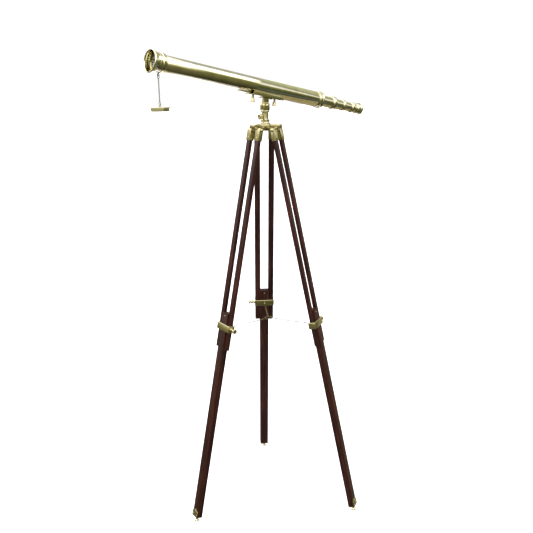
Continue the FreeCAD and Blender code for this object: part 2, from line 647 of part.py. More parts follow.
def cradle_screw(station):
    """Thumbscrew with a waisted neck and a cone-shaped grip; its tip stops just short of the rail."""
    top = CRADLE_LOW - RUN_GAP
    neck_low = top - THUMB_NECK_L
    end = neck_low - THUMB_L
    tip = CRADLE_LOW + CRADLE_FLOOR + RUN_GAP / 2
    stem = rod(THUMB_STEM_R, Vector(station, 0, neck_low), Z, tip - neck_low)
    outline = [(0, top), (THUMB_NECK_R, top), (THUMB_NECK_R * THUMB_WAIST, neck_low)]
    outline += [(THUMB_TOP_R, neck_low - THUMB_SHOULDER), (THUMB_BOTTOM_R, end + THUMB_EDGE_H)]
    outline += [(THUMB_BOTTOM_R - THUMB_EDGE_R, end), (0, end)]
    knob = turned_up(outline)
    knob.translate(Vector(station, 0, 0))
    return stem.fuse(knob).removeSplitter()


def mount_rail():
    """Flat bar soldered along the underside of the main tube."""
    half = RAIL_WIDTH / 2
    bar = box(RAIL_FRONT, RAIL_BACK, -half, half, -RAIL_DROP, -TUBE_R + RAIL_INTO)
    round_end = rod(RAIL_END_R, Vector(RAIL_FRONT + RAIL_END_R, 0, -RAIL_DROP - 1), Z, TUBE_R)
    square = box(RAIL_FRONT - 1, RAIL_FRONT + RAIL_END_R, -half - 1, half + 1, -RAIL_DROP - 2, 0)
    bar = bar.cut(square.cut(round_end))
    return bar.cut(rod(TUBE_R, Vector(RAIL_FRONT - 1, 0, 0), X, RAIL_BACK - RAIL_FRONT + 2))


# ---- telescope ---------------------------------------------------------------------
def over_tube(station, profile):
    """Outline points from pairs of (distance behind a station, radius over the main tube)."""
    return [(station + back, TUBE_R + over) for back, over in profile]


def bell_hood():
    """Flared mouth, screwed on the front of the collar."""
    bead_station, bead_middle = over_tube(MOUTH, [HOOD_BEAD])[0]
    outline = over_tube(MOUTH, HOOD_LIP)
    outline += arc_points(bead_station, bead_middle, HOOD_BEAD_R, 150, 60, 5)
    outline += over_tube(MOUTH, HOOD_OUTSIDE)
    outline += [(HOOD_BACK, CAP_BORE_R + HOOD_WALL), (HOOD_BACK, CAP_BORE_R)]
    return turned(outline + over_tube(MOUTH, HOOD_INSIDE))


def objective_collar():
    """Stepped collar with a cove, over the tube's front end; it carries the hood and the lens cell."""
    outline = [(HOOD_BACK, LENS_R)]
    outline += [(HOOD_BACK + back, COLLAR_OUT_R - under) for back, under in COLLAR_PROFILE]
    outline += [(COLLAR_BACK, TUBE_R + COLLAR_END_OVER), (COLLAR_BACK, TUBE_R), (TUBE_FRONT, TUBE_R)]
    outline += [(TUBE_FRONT, LENS_R)]
    return turned(outline)


def lens(front, radius, edge, front_sag, back_sag):
    """Biconvex, meniscus or plano lens from the sags of its two faces."""
    outline = [(front - front_sag, 0)]
    steps = 8
    for i in range(1, steps + 1):
        share = i / steps
        outline.append((front - front_sag * (1 - share ** 2), radius * share))
    for i in range(steps, -1, -1):
        share = i / steps
        outline.append((front + edge + back_sag * (1 - share ** 2), radius * share))
    return turned(outline)


def objective_lenses():
    crown = lens(LENS_FRONT, LENS_R, CROWN_EDGE, CROWN_SAG, CROWN_SAG)
    second = LENS_FRONT + CROWN_EDGE + LENS_AIR
    flint = lens(second, LENS_R, FLINT_EDGE, -CROWN_SAG, 0.0)
    return [crown, flint]


def tube_ring(front, length, outer, inner):
    ring = rod(outer, Vector(front, 0, 0), X, length)
    return ring.cut(rod(inner, Vector(front - 1, 0, 0), X, length + 2))


def main_tube():
    return tube_ring(TUBE_FRONT, TUBE_BACK - TUBE_FRONT, TUBE_R, TUBE_R - TUBE_WALL)


def rear_collar():
    """Moulded ring and bush that close the main tube; the first draw slides in its bore."""
    bore = DRAWS[0][0] + RUN_GAP
    inner = TUBE_R - TUBE_WALL
    outline = [(REAR_BUSH_FRONT, bore), (REAR_BUSH_FRONT, inner), (TUBE_BACK, inner), (TUBE_BACK, TUBE_R)]
    outline += over_tube(REAR_RING_FRONT, REAR_PROFILE)
    return turned(outline + [(REAR_RING_BACK, bore)])


def draw_tube(i):
    """Sliding tube; a guide ring at its front end rides in the tube around it."""
    radius, front, collar_front, collar_back, _ = DRAWS[i]
    back = collar_back if i < len(DRAWS) - 1 else DRAW_STEM_BACK
    tube = tube_ring(front, back - front, radius, radius - DRAW_WALL)
    around = TUBE_R - TUBE_WALL if i == 0 else DRAWS[i - 1][0] - DRAW_WALL
    guide_out = around - RUN_GAP
    if guide_out > radius:
        guide = tube_ring(front, GUIDE_LENGTH, guide_out, radius - DRAW_WALL)
        tube = tube.fuse(guide).removeSplitter()
    return tube


def draw_collar(i):
    """Moulded ring on the outer end of a draw."""
    radius, _, front, back, out = DRAWS[i]
    edge = radius + (out - radius) * BEAD_FOOT
    outline = [(front, radius), (front, edge)]
    half = (back - front) / 2 - BEAD_EDGE
    for station, height in arc_points(0, 0, 1, 180, 0, 8):
        outline.append(((front + back) / 2 + half * station, edge + (out - edge) * height))
    outline += [(back, edge), (back, radius)]
    return turned(outline)


def eyepiece_bell():
    """Flared cup around the eye lens, with the eye hole at the bottom of its dish."""
    outline = [(DRAW_STEM_BACK, EYE_LENS_R), (DRAW_STEM_BACK, DRAWS[-1][0] - DRAW_WALL)]
    outline += [(DRAW_STEM_BACK + back, EYE_BELL_R - under) for back, under in EYE_BELL_OUTSIDE]
    outline += [(EYE_BELL_BACK - depth, radius) for depth, radius in EYE_BELL_DISH]
    outline += [(EYE_BELL_BACK - EYE_BELL_DISH[-1][0], EYE_LENS_R)]
    return turned(outline)


def eyepiece_lenses():
    eye = lens(EYE_BELL_BACK - EYE_LENS_SEAT, EYE_LENS_R, EYE_LENS_EDGE, EYE_LENS_SAG, 0.0)
    field = lens(FIELD_LENS_STATION, DRAWS[-1][0] - DRAW_WALL, EYE_LENS_EDGE, FIELD_LENS_SAG, 0.0)
    return [eye, field]


def erector_cell():
    return tube_ring(ERECTOR_FRONT, ERECTOR_LENGTH, DRAWS[1][0] - DRAW_WALL, ERECTOR_LENS_R)


def erector_lenses():
    back = ERECTOR_FRONT + ERECTOR_LENGTH - 2 * ERECTOR_LENS_EDGE
    first = lens(ERECTOR_FRONT + ERECTOR_LENS_EDGE, ERECTOR_LENS_R, ERECTOR_LENS_EDGE, 0.0, ERECTOR_LENS_SAG)
    second = lens(back, ERECTOR_LENS_R, ERECTOR_LENS_EDGE, ERECTOR_LENS_SAG, 0.0)
    return [first, second]


def cap_chain_eye():
    eye_z = -COLLAR_OUT_R - CAP_EYE_STEM
    eye = Part.makeTorus(CAP_EYE_R, CAP_EYE_WIRE, Vector(CAP_EYE_STATION, 0, eye_z), Y)
    stem = rod(CAP_EYE_WIRE, Vector(CAP_EYE_STATION, 0, eye_z + CAP_EYE_R), Z, CAP_EYE_STEM)
    return eye.fuse(stem).cut(rod(COLLAR_OUT_R, Vector(MOUTH, 0, 0), X, COLLAR_BACK - MOUTH)).removeSplitter()


# ---- dust cap on its chain -----------------------------------------------------------
def cap_eye_point():
    return telescope_place().multVec(Vector(CAP_EYE_STATION, 0, -COLLAR_OUT_R - CAP_EYE_STEM))


def cap_chain():
    """Ring, fine links and ring, hanging straight down from the eye."""
    eye = cap_eye_point()
    upper = Part.makeTorus(CAP_RING_R, CAP_RING_WIRE, eye - Z * CAP_RING_R, X)
    hang = CAP_RING_WIRE + CAP_LINK_WIRE + LINK_SLACK
    first = eye - Z * (2 * CAP_RING_R - hang)
    size = (CAP_LINK_LENGTH, CAP_LINK_WIDTH, CAP_LINK_WIRE)
    links = chain(first, -Z, Y, CAP_LINK_COUNT, size, CAP_LINK_PITCH)
    last = first.z - (CAP_LINK_COUNT - 1) * CAP_LINK_PITCH - CAP_LINK_LENGTH + 2 * CAP_LINK_WIRE
    lower_top = last + hang
    lower = Part.makeTorus(CAP_RING_R, CAP_RING_WIRE, Vector(eye.x, eye.y, lower_top - CAP_RING_R), X)
    points["cap_hinge"] = Vector(eye.x, eye.y, lower_top - 2 * CAP_RING_R)
    return [upper] + links + [lower]


def dust_cap():
    """Lid with a short plug that fits the bell's bore, hung by a loop at its middle."""
    top = -CAP_EYE_R - CAP_STEM_L
    low = top - CAP_FLANGE_H
    flange = CAP_BORE_R + CAP_FLANGE_OVER
    plug = CAP_BORE_R - CAP_PLUG_EASE
    outline = [(0, top), (flange - CAP_FLANGE_EDGE, top), (flange, top - CAP_FLANGE_EDGE), (flange, low)]
    outline += [(plug, low), (plug, low - CAP_PLUG_H), (plug - CAP_WALL, low - CAP_PLUG_H)]
    outline += [(plug - CAP_WALL, top - CAP_WALL), (0, top - CAP_WALL)]
    loop = Part.makeTorus(CAP_EYE_R, CAP_EYE_WIRE, ORIGIN, Y)
    stem = rod(CAP_STEM_R, Vector(0, 0, -CAP_EYE_R), -Z, CAP_STEM_L + EPS)
    cap = turned_up(outline).fuse(loop).fuse(stem).removeSplitter()
    cap.translate(points["cap_hinge"])
    return cap


def build():
    on_tube = telescope_place()
    for i in range(LEG_COUNT):
        tag = str(i + 1)
        azimuth = leg_azimuth(i)
        place = leg_place(azimuth)
        keep("leg_slats_" + tag, leg_slats(), place)
        keep("leg_ferrules_" + tag, leg_ferrules(), place)
        keep("clamp_band_" + tag, clamp_band(), place)
        keep("clamp_screw_" + tag, clamp_screw(), place)
        keep("lower_leg_" + tag, lower_leg(), place)
        keep("foot_shoe_" + tag, foot_shoe(), place)
        keep("foot_stud_" + tag, foot_stud(azimuth))
        keep("spreader_chain_" + tag, spreader_chain(azimuth))
    keep("spreader_ring", spreader_ring())
    keep("hub_plate", hub_plate())
    keep("leg_hinge_bolts", hinge_bolts())
    keep("hub_screws", hub_screws())
    keep("base_socket", base_socket())
    keep("swivel_post", swivel_post())
    keep("azimuth_knob", azimuth_knob())
    keep("tilt_yoke", tilt_yoke())
    keep("tilt_bolt", tilt_bolt())
    keep("tilt_nut", tilt_nut())
    keep("cradle", cradle(), on_tube)
    keep("cradle_tongue", cradle_tongue(), on_tube)
    for end, station in THUMB_STATIONS.items():
        keep("cradle_screw_" + end, cradle_screw(station), on_tube)
    keep("mount_rail", mount_rail(), on_tube)
    keep("bell_hood", bell_hood(), on_tube)
    keep("objective_collar", objective_collar(), on_tube)
    keep("objective_lenses", objective_lenses(), on_tube)
    retainer_front = LENS_FRONT + CROWN_EDGE + LENS_AIR + FLINT_EDGE
    keep("lens_retaining_ring", tube_ring(retainer_front, RETAINER_L, LENS_R, LENS_R - RETAINER_WALL), on_tube)
    keep("main_tube", main_tube(), on_tube)
    baffles = [tube_ring(s, BAFFLE_L, TUBE_R - TUBE_WALL, BAFFLE_BORE) for s in BAFFLE_STATIONS]
    keep("tube_baffles", baffles, on_tube)
    keep("rear_collar", rear_collar(), on_tube)
    for i in range(len(DRAWS)):
        keep("draw_tube_" + str(i + 1), draw_tube(i), on_tube)
        keep("draw_collar_" + str(i + 1), draw_collar(i), on_tube)
    keep("eyepiece_bell", eyepiece_bell(), on_tube)
    keep("eyepiece_lenses", eyepiece_lenses(), on_tube)
    keep("erector_cell", erector_cell(), on_tube)
    keep("erector_lenses", erector_lenses(), on_tube)
    keep("cap_chain_eye", cap_chain_eye(), on_tube)
    keep("cap_chain", cap_chain())
    keep("dust_cap", dust_cap())


def report_point(name, point):
    print("POINT", name, round(point.x, 4), round(point.y, 4), round(point.z, 4))


build()
whole = FreeCAD.BoundBox()
for shape in shapes.values():
    whole.add(shape.BoundBox)
shift = Vector(-whole.Center.x, -whole.Center.y, -whole.ZMin)
os.makedirs("parts", exist_ok=True)
for name, shape in shapes.items():
    shape.translate(shift)
    shape.exportStep("parts/" + name + ".step")
    print(name, len(shape.Solids), round(shape.Volume), shape.isValid())

report_point("axis", shift)
report_point("tilt", Vector(0, 0, TILT_HEIGHT) + shift)
report_point("cap_eye", cap_eye_point() + shift)
report_point("cap_hinge", points["cap_hinge"] + shift)
for i in range(LEG_COUNT):
    place = leg_place(leg_azimuth(i))
    report_point("hinge_" + str(i + 1), place.Base + shift)
    report_point("eye_" + str(i + 1), eye_point(leg_azimuth(i)) + shift)
    report_point("clamp_" + str(i + 1), place.multVec(Vector(0, 0, -BAND_Z)) + shift)
print("LEG_ANGLE", LEG_ANGLE, "size", whole.XLength, whole.YLength, whole.ZLength)
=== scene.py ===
import json
import math

import bpy
from mathutils import Matrix, Vector

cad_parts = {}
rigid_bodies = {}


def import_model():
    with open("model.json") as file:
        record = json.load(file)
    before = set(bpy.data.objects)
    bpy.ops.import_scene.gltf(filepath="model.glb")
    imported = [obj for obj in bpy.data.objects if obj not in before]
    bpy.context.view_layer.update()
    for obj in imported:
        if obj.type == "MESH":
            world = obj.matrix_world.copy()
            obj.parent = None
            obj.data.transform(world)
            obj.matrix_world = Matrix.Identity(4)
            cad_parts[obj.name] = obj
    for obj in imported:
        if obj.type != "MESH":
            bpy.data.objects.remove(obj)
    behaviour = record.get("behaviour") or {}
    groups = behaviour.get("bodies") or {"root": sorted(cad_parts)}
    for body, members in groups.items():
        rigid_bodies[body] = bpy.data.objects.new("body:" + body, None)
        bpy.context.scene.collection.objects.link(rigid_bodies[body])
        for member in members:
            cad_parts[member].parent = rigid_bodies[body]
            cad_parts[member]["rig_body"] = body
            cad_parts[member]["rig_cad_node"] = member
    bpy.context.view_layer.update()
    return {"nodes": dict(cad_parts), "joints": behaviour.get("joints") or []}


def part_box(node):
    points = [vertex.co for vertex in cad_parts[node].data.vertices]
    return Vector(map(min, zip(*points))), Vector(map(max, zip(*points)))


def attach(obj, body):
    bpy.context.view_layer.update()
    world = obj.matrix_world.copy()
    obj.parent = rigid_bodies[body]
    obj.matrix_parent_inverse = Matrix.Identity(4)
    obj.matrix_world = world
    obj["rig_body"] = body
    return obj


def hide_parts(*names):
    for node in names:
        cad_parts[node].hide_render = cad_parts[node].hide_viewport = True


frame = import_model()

bl_info = {
    "name": "Brass telescope on a wooden tripod",
    "version": (1, 0, 0),
    "blender": (4, 5, 0),
    "location": "3D View > Sidebar > Telescope",
    "description": "Polished and cast brass, lenses, chains and stained legs of a floor telescope",
    "category": "Object",
}

MM = 0.001
TURN = 2 * math.pi
LEGS = (1, 2, 3)
HERE = Matrix.Identity(4)


# ---- places read from the frame ------------------------------------------------
def joint(name):
    return next(j for j in frame["joints"] if j["name"] == name)


def middle(node):
    low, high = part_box(node)
    return (low + high) / 2


def axes_at(point, x, y, z):
    return Matrix.Translation(point) @ Matrix((x, y, z)).transposed().to_4x4()


def telescope_place():
    """Local +X runs from the objective to the eyepiece; zero is over the tripod's axis."""
    along = Vector(joint("draw_1_slide")["axis"]).normalized()
    across = Vector((0, 1, 0))
    centre = middle("main_tube")
    hub = Vector(joint("azimuth_turn")["pos_m"])
    zero = centre + along * ((hub.x - centre.x) / along.x)
    return axes_at(zero, along, across, along.cross(across))


def post_place():
    """Local zero is on the tripod's axis at the height of the floor."""
    hub = Vector(joint("azimuth_turn")["pos_m"])
    return Matrix.Translation((hub.x, hub.y, 0))


def leg_place(leg):
    """Local zero is the leg's hinge, +Z runs up the leg, +X outwards and +Y along the bolt."""
    fold = joint(f"leg_{leg}_fold")
    bolt = Vector(fold["axis"]).normalized()
    up = Vector(joint(f"leg_{leg}_extension")["axis"]).normalized()
    return axes_at(Vector(fold["pos_m"]), bolt.cross(up), bolt, up)


def lobe_place(leg):
    """On the tripod's axis at floor height, turned so that +X points at this leg."""
    bolt = Vector(joint(f"leg_{leg}_fold")["axis"]).normalized()
    up = Vector((0, 0, 1))
    return axes_at(post_place().translation, bolt.cross(up), bolt, up)


# ---- modelling helpers ----------------------------------------------------------
def only(piece):
    """Leave object mode with this piece alone selected and active."""
    if bpy.context.object and bpy.context.object.mode != "OBJECT":
        bpy.ops.object.mode_set(mode="OBJECT")
    bpy.ops.object.select_all(action="DESELECT")
    if piece:
        piece.select_set(True)
        bpy.context.view_layer.objects.active = piece


def edit(piece, kind="VERT", action="DESELECT"):
    only(piece)
    bpy.ops.object.mode_set(mode="EDIT")
    bpy.ops.mesh.select_mode(type=kind)
    bpy.ops.mesh.select_all(action=action)


def pick(piece, test):
    """Select the vertices whose place passes the test, in edit mode."""
    edit(piece)
    bpy.ops.object.mode_set(mode="OBJECT")
    for vertex in piece.data.vertices:
        vertex.select = test(vertex.co)
    bpy.ops.object.mode_set(mode="EDIT")


def pick_faces(piece, test):
    edit(piece, "FACE")
    bpy.ops.object.mode_set(mode="OBJECT")
    for face in piece.data.polygons:
        face.select = test(face.center, face.normal)
    bpy.ops.object.mode_set(mode="EDIT")


def leave():
    bpy.ops.object.mode_set(mode="OBJECT")


def apply_modifier(piece, kind, **settings):
    only(piece)
    modifier = piece.modifiers.new(kind.title(), kind)
    for key, value in settings.items():
        setattr(modifier, key, value)
    bpy.ops.object.modifier_apply(modifier=modifier.name)


def round_edges(piece, width, segments=2, angle=30):
    apply_modifier(piece, "BEVEL", width=width * MM, segments=segments, limit_method="ANGLE",
                   angle_limit=math.radians(angle), miter_outer="MITER_ARC")


def lathe(outline, steps=96, upright=False):
    """Spin an outline of (station, radius) in millimetres; a closed outline ends where it starts."""
    def spot(point):
        station, radius = point
        return Vector((0, radius, station)) * MM if upright else Vector((station, radius, 0)) * MM

    only(None)
    bpy.ops.mesh.primitive_plane_add(size=MM, location=(0, 0, 0))
    piece = bpy.context.object
    edit(piece, action="SELECT")
    bpy.ops.mesh.merge(type="CENTER")
    bpy.ops.transform.translate(value=spot(outline[0]))
    for before, after in zip(outline, outline[1:]):
        bpy.ops.mesh.extrude_vertices_move(TRANSFORM_OT_translate={"value": spot(after) - spot(before)})
    bpy.ops.mesh.select_all(action="SELECT")
    axis = (0, 0, 1) if upright else (1, 0, 0)
    bpy.ops.mesh.spin(steps=steps, angle=TURN, center=(0, 0, 0), axis=axis)
    bpy.ops.mesh.select_all(action="SELECT")
    bpy.ops.mesh.remove_doubles(threshold=MM / 1000)
    bpy.ops.mesh.normals_make_consistent(inside=False)
    leave()
    return piece


def arc(cx, cy, rx, start, end, count, ry=None):
    """Outline points along an arc, angles in degrees."""
    ry = rx if ry is None else ry
    turns = [math.radians(start + (end - start) * i / count) for i in range(count + 1)]
    return [(cx + rx * math.cos(t), cy + ry * math.sin(t)) for t in turns]


def closed(outline):
    return outline + outline[:1]


def bar(low, high, bevel=1.0, segments=3):
    """Rectangular bar between two corners in millimetres, with rounded edges."""
    low, high = Vector(low) * MM, Vector(high) * MM
    only(None)
    bpy.ops.mesh.primitive_cube_add(size=1, location=(low + high) / 2, scale=high - low)
    piece = bpy.context.object
    bpy.ops.object.transform_apply(location=True, rotation=True, scale=True)
    edit(piece, action="SELECT")
    bpy.ops.mesh.bevel(offset=bevel * MM, segments=segments)
    leave()
    return piece


def disc(radius, low, high, way, centre=(0, 0, 0), bevel=0.4, sides=32):
    """Short round bar along X, Y or Z between two stations in millimetres."""
    turn = {"X": (0, math.pi / 2, 0), "Y": (-math.pi / 2, 0, 0), "Z": (0, 0, 0)}[way]
    spot = Vector(centre)
    spot["XYZ".index(way)] = (low + high) / 2
    only(None)
    bpy.ops.mesh.primitive_cylinder_add(vertices=sides, radius=radius * MM, depth=(high - low) * MM,
                                        location=spot * MM, rotation=turn)
    piece = bpy.context.object
    bpy.ops.object.transform_apply(location=True, rotation=True, scale=True)
    if bevel:
        round_edges(piece, bevel)
    return piece


def ring(major, minor, centre, way, steps=32, sides=12):
    turn = {"X": (0, math.pi / 2, 0), "Y": (math.pi / 2, 0, 0), "Z": (0, 0, 0)}[way]
    only(None)
    bpy.ops.mesh.primitive_torus_add(major_radius=major * MM, minor_radius=minor * MM, major_segments=steps,
                                     minor_segments=sides, location=Vector(centre) * MM, rotation=turn)
    piece = bpy.context.object
    bpy.ops.object.transform_apply(location=True, rotation=True, scale=True)
    return piece


def joined(pieces):
    only(pieces[0])
    for piece in pieces[1:]:
        piece.select_set(True)
    bpy.ops.object.join()
    return bpy.context.object


def copied(piece, place=HERE):
    """A copy with its own mesh, moved by a matrix."""
    only(piece)
    bpy.ops.object.duplicate()
    copy = bpy.context.object
    copy.matrix_world = place @ copy.matrix_world
    bpy.ops.object.transform_apply(location=True, rotation=True, scale=True)
    return copy


def drop(piece):
    only(piece)
    bpy.ops.object.delete()


def cut(piece, tool):
    """Take the tool's shape out of the piece."""
    apply_modifier(piece, "BOOLEAN", object=tool, operation="DIFFERENCE", solver="EXACT")
    drop(tool)
    return piece


def fused(piece, tool):
    apply_modifier(piece, "BOOLEAN", object=tool, operation="UNION", solver="EXACT")
    drop(tool)
    return piece


def from_node(name, bevel):
    """A merged copy of a CAD node with its sharp edges rounded."""
    only(frame["nodes"][name])
    bpy.ops.object.duplicate()
    piece = bpy.context.object
    piece.parent = None
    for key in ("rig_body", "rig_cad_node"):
        del piece[key]
    edit(piece, action="SELECT")
    bpy.ops.mesh.remove_doubles(threshold=MM / 500)
    bpy.ops.mesh.dissolve_limited(angle_limit=math.radians(1.0))
    leave()
    round_edges(piece, bevel)
    return piece


def screw_head(radius, height, slot_width, at, way=1):
    """Domed slotted head, its flat side on Z zero, facing +Z or -Z."""
    dome = [(0, radius), (height * 0.35, radius)]
    dome += arc(height * 0.35, 0, height * 0.65, 90, 0, 5, ry=radius)[1:]
    head = lathe(closed([(0, 0)] + dome), steps=32, upright=True)
    reach = radius * 1.2
    tool = bar((-reach, -slot_width / 2, height * 0.55), (reach, slot_width / 2, height * 1.5), bevel=0.01, segments=1)
    cut(head, tool)
    return copied_and_dropped(head, Matrix.Translation(Vector(at) * MM) @ Matrix.Diagonal((1, 1, way, 1)))


def copied_and_dropped(piece, place):
    piece.matrix_world = place
    only(piece)
    bpy.ops.object.transform_apply(location=True, rotation=True, scale=True)
    return piece


def fluted(piece, radius, count, depth, low, high, way="X"):
    """Press every other row of a knob's side inwards."""
    index = "XYZ".index(way)

    def test(co):
        others = [co[i] for i in range(3) if i != index]
        turn = math.atan2(others[0], others[1]) / TURN * count * 2
        near_side = math.hypot(*others) > (radius - 0.6) * MM
        return near_side and low * MM < co[index] < high * MM and round(turn) % 2 == 0

    pick(piece, test)
    factor = 1 - depth / radius
    value = [factor] * 3
    value[index] = 1
    bpy.ops.transform.resize(value=value, center_override=(0, 0, 0))
    leave()


def settle(piece, name, body, material, nodes=(), place=HERE, smooth=35):
    """Name a finished piece, put its place into its mesh, shade it and hang it on its body."""
    piece.name = piece.data.name = name
    only(piece)
    piece.matrix_world = place @ piece.matrix_world
    bpy.ops.object.transform_apply(location=True, rotation=True, scale=True)
    if place.determinant() < 0:
        edit(piece, action="SELECT")
        bpy.ops.mesh.normals_make_consistent(inside=False)
        leave()
    bpy.ops.object.shade_smooth_by_angle(angle=math.radians(smooth))
    piece.data.materials.clear()
    piece.data.materials.append(material)
    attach(piece, body)
    if nodes:
        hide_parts(*nodes)
    return piece


# ---- finishes ---------------------------------------------------------------------
def linear(code):
    """A hex colour as a linear RGBA."""
    channels = [int(code[i:i + 2], 16) / 255 for i in (1, 3, 5)]
    return tuple(c / 12.92 if c <= 0.04045 else ((c + 0.055) / 1.055) ** 2.4 for c in channels) + (1.0,)


def add(tree, kind, settings=None, **inputs):
    """Add a node, set its properties, and give its inputs values or link them to sockets."""
    node = tree.nodes.new("ShaderNode" + kind)
    for key, value in (settings or {}).items():
        setattr(node, key, value)
    for key, value in inputs.items():
        socket = node.inputs[int(key[1:])] if key[0] == "i" and key[1:].isdigit() else node.inputs[key.replace("_", " ")]
        if isinstance(value, bpy.types.NodeSocket):
            tree.links.new(value, socket)
        else:
            socket.default_value = value
    return node


def ramp(tree, fac, stops):
    """Colour ramp from (position, hex colour) stops."""
    node = add(tree, "ValToRGB", Fac=fac)
    line = node.color_ramp.elements
    while len(line) < len(stops):
        line.new(0.5)
    for element, (position, code) in zip(line, stops):
        element.position = position
        element.color = linear(code) if isinstance(code, str) else tuple(code)
    return node.outputs["Color"]


def finish(name):
    """A new material and its tree, with a plain shader already wired to the output."""
    material = bpy.data.materials.new(name)
    material.use_nodes = True
    return material, material.node_tree, material.node_tree.nodes["Principled BSDF"]


def brass(name, colour, tarnish, rough, turned, grit, wear):
    """Brass: a metal with faint stains, smudged gloss and the fine lines that its polishing left.

    turned is the tilt of the lathe's axis, or None where the metal was cast and filed.
    """
    material, tree, shader = finish(name)
    place = add(tree, "TexCoord").outputs["Object"]
    # stains and handling marks are 10 to 40 mm across
    stains = add(tree, "TexNoise", Vector=place, Scale=38.0, Detail=5.0, Roughness=0.62).outputs["Fac"]
    smudge = add(tree, "TexNoise", Vector=place, Scale=160.0, Detail=4.0, Roughness=0.7).outputs["Fac"]
    shader.inputs["Metallic"].default_value = 1.0
    tone = ramp(tree, stains, [(0.30, tarnish), (0.62, colour), (1.0, colour)])
    tree.links.new(tone, shader.inputs["Base Color"])
    gloss = add(tree, "MapRange", Value=smudge, From_Min=0.3, From_Max=0.75, To_Min=rough, To_Max=rough + wear)
    tree.links.new(gloss.outputs["Result"], shader.inputs["Roughness"])
    if turned is None:
        # filed and tumbled castings: grit marks of about half a millimetre
        grain = add(tree, "TexNoise", Vector=place, Scale=grit, Detail=3.0, Roughness=0.6).outputs["Fac"]
    else:
        # the polishing lines run round the axis, so the pattern only changes along it
        along = add(tree, "Mapping", {"vector_type": "POINT"}, Vector=place, Rotation=turned, Scale=(1.0, 0.02, 0.02))
        grain = add(tree, "TexNoise", Vector=along.outputs["Vector"], Scale=grit, Detail=4.0, Roughness=0.75)
        grain = grain.outputs["Fac"]
    bump = add(tree, "Bump", Strength=0.08, Distance=0.00004, Height=grain)
    tree.links.new(bump.outputs["Normal"], shader.inputs["Normal"])
    return material


def stained_wood(name, dark, middle, light):
    """Dark stained hardwood under satin lacquer: long grain, fine pores and a soft sheen."""
    material, tree, shader = finish(name)
    place = add(tree, "Attribute", {"attribute_name": "leg_place"}).outputs["Vector"]
    # rings show as streaks some 6 mm wide and 250 mm long, the pores as dashes of 0.4 by 12 mm
    ring_place = add(tree, "Mapping", None, Vector=place, Scale=(1.0, 1.0, 0.035)).outputs["Vector"]
    streaks = add(tree, "TexNoise", None, Vector=ring_place, Scale=170.0, Detail=5.0, Roughness=0.6, Distortion=0.6)
    pore_place = add(tree, "Mapping", None, Vector=place, Scale=(1.0, 1.0, 0.03)).outputs["Vector"]
    pores = add(tree, "TexNoise", None, Vector=pore_place, Scale=1500.0, Detail=2.0, Roughness=0.5).outputs["Fac"]
    cloud = add(tree, "TexNoise", None, Vector=place, Scale=14.0, Detail=3.0).outputs["Fac"]
    tone = ramp(tree, streaks.outputs["Fac"], [(0.30, dark), (0.55, middle), (0.78, light)])
    pore_tone = ramp(tree, pores, [(0.36, "#3A3030"), (0.52, "#FFFFFF")])
    patch = ramp(tree, cloud, [(0.25, "#B8A8A0"), (0.75, "#FFFFFF")])
    mixed = add(tree, "Mix", {"data_type": "RGBA", "blend_type": "MULTIPLY"}, i0=0.7, i6=tone, i7=pore_tone)
    mixed = add(tree, "Mix", {"data_type": "RGBA", "blend_type": "MULTIPLY"}, i0=0.8, i6=mixed.outputs[2], i7=patch)
    tree.links.new(mixed.outputs[2], shader.inputs["Base Color"])
    gloss = add(tree, "MapRange", None, Value=pores, From_Min=0.3, From_Max=0.7, To_Min=0.5, To_Max=0.34)
    tree.links.new(gloss.outputs["Result"], shader.inputs["Roughness"])
    shader.inputs["Specular IOR Level"].default_value = 0.14
    shader.inputs["Coat Weight"].default_value = 0.02
    shader.inputs["Coat Roughness"].default_value = 0.3
    bump = add(tree, "Bump", None, Strength=0.25, Distance=0.0003, Height=pores)
    tree.links.new(bump.outputs["Normal"], shader.inputs["Normal"])
    return material


def lens_glass(name):
    """Polished and coated crown glass, clear with a faint cool tint."""
    material, tree, shader = finish(name)
    place = add(tree, "TexCoord").outputs["Object"]
    dust = add(tree, "TexNoise", Vector=place, Scale=900.0, Detail=2.0).outputs["Fac"]
    shader.inputs["Base Color"].default_value = linear("#EDF6F2")
    shader.inputs["Transmission Weight"].default_value = 1.0
    shader.inputs["IOR"].default_value = 1.52
    gloss = add(tree, "MapRange", Value=dust, From_Min=0.55, From_Max=0.8, To_Min=0.01, To_Max=0.12)
    tree.links.new(gloss.outputs["Result"], shader.inputs["Roughness"])
    return material


def blackened(name):
    """Brass blackened with acid and lacquered matt, to swallow stray light inside the tubes."""
    material, tree, shader = finish(name)
    place = add(tree, "TexCoord").outputs["Object"]
    mottle = add(tree, "TexNoise", Vector=place, Scale=220.0, Detail=4.0, Roughness=0.65).outputs["Fac"]
    tree.links.new(ramp(tree, mottle, [(0.3, "#15140F"), (0.75, "#2A2820")]), shader.inputs["Base Color"])
    shader.inputs["Metallic"].default_value = 0.6
    gloss = add(tree, "MapRange", Value=mottle, From_Min=0.3, From_Max=0.7, To_Min=0.5, To_Max=0.68)
    tree.links.new(gloss.outputs["Result"], shader.inputs["Roughness"])
    bump = add(tree, "Bump", Strength=0.1, Distance=0.0002, Height=mottle)
    tree.links.new(bump.outputs["Normal"], shader.inputs["Normal"])
    return material


def painted_floor(name, colour):
    """Matt studio floor with a barely visible roller texture."""
    material, tree, shader = finish(name)
    place = add(tree, "TexCoord").outputs["Object"]
    roller = add(tree, "TexNoise", Vector=place, Scale=30.0, Detail=6.0).outputs["Fac"]
    base = add(tree, "MapRange", Value=roller, From_Min=0.2, From_Max=0.8, To_Min=0.72, To_Max=0.8)
    shader.inputs["Base Color"].default_value = linear(colour)
    tree.links.new(base.outputs["Result"], shader.inputs["Roughness"])
    return material


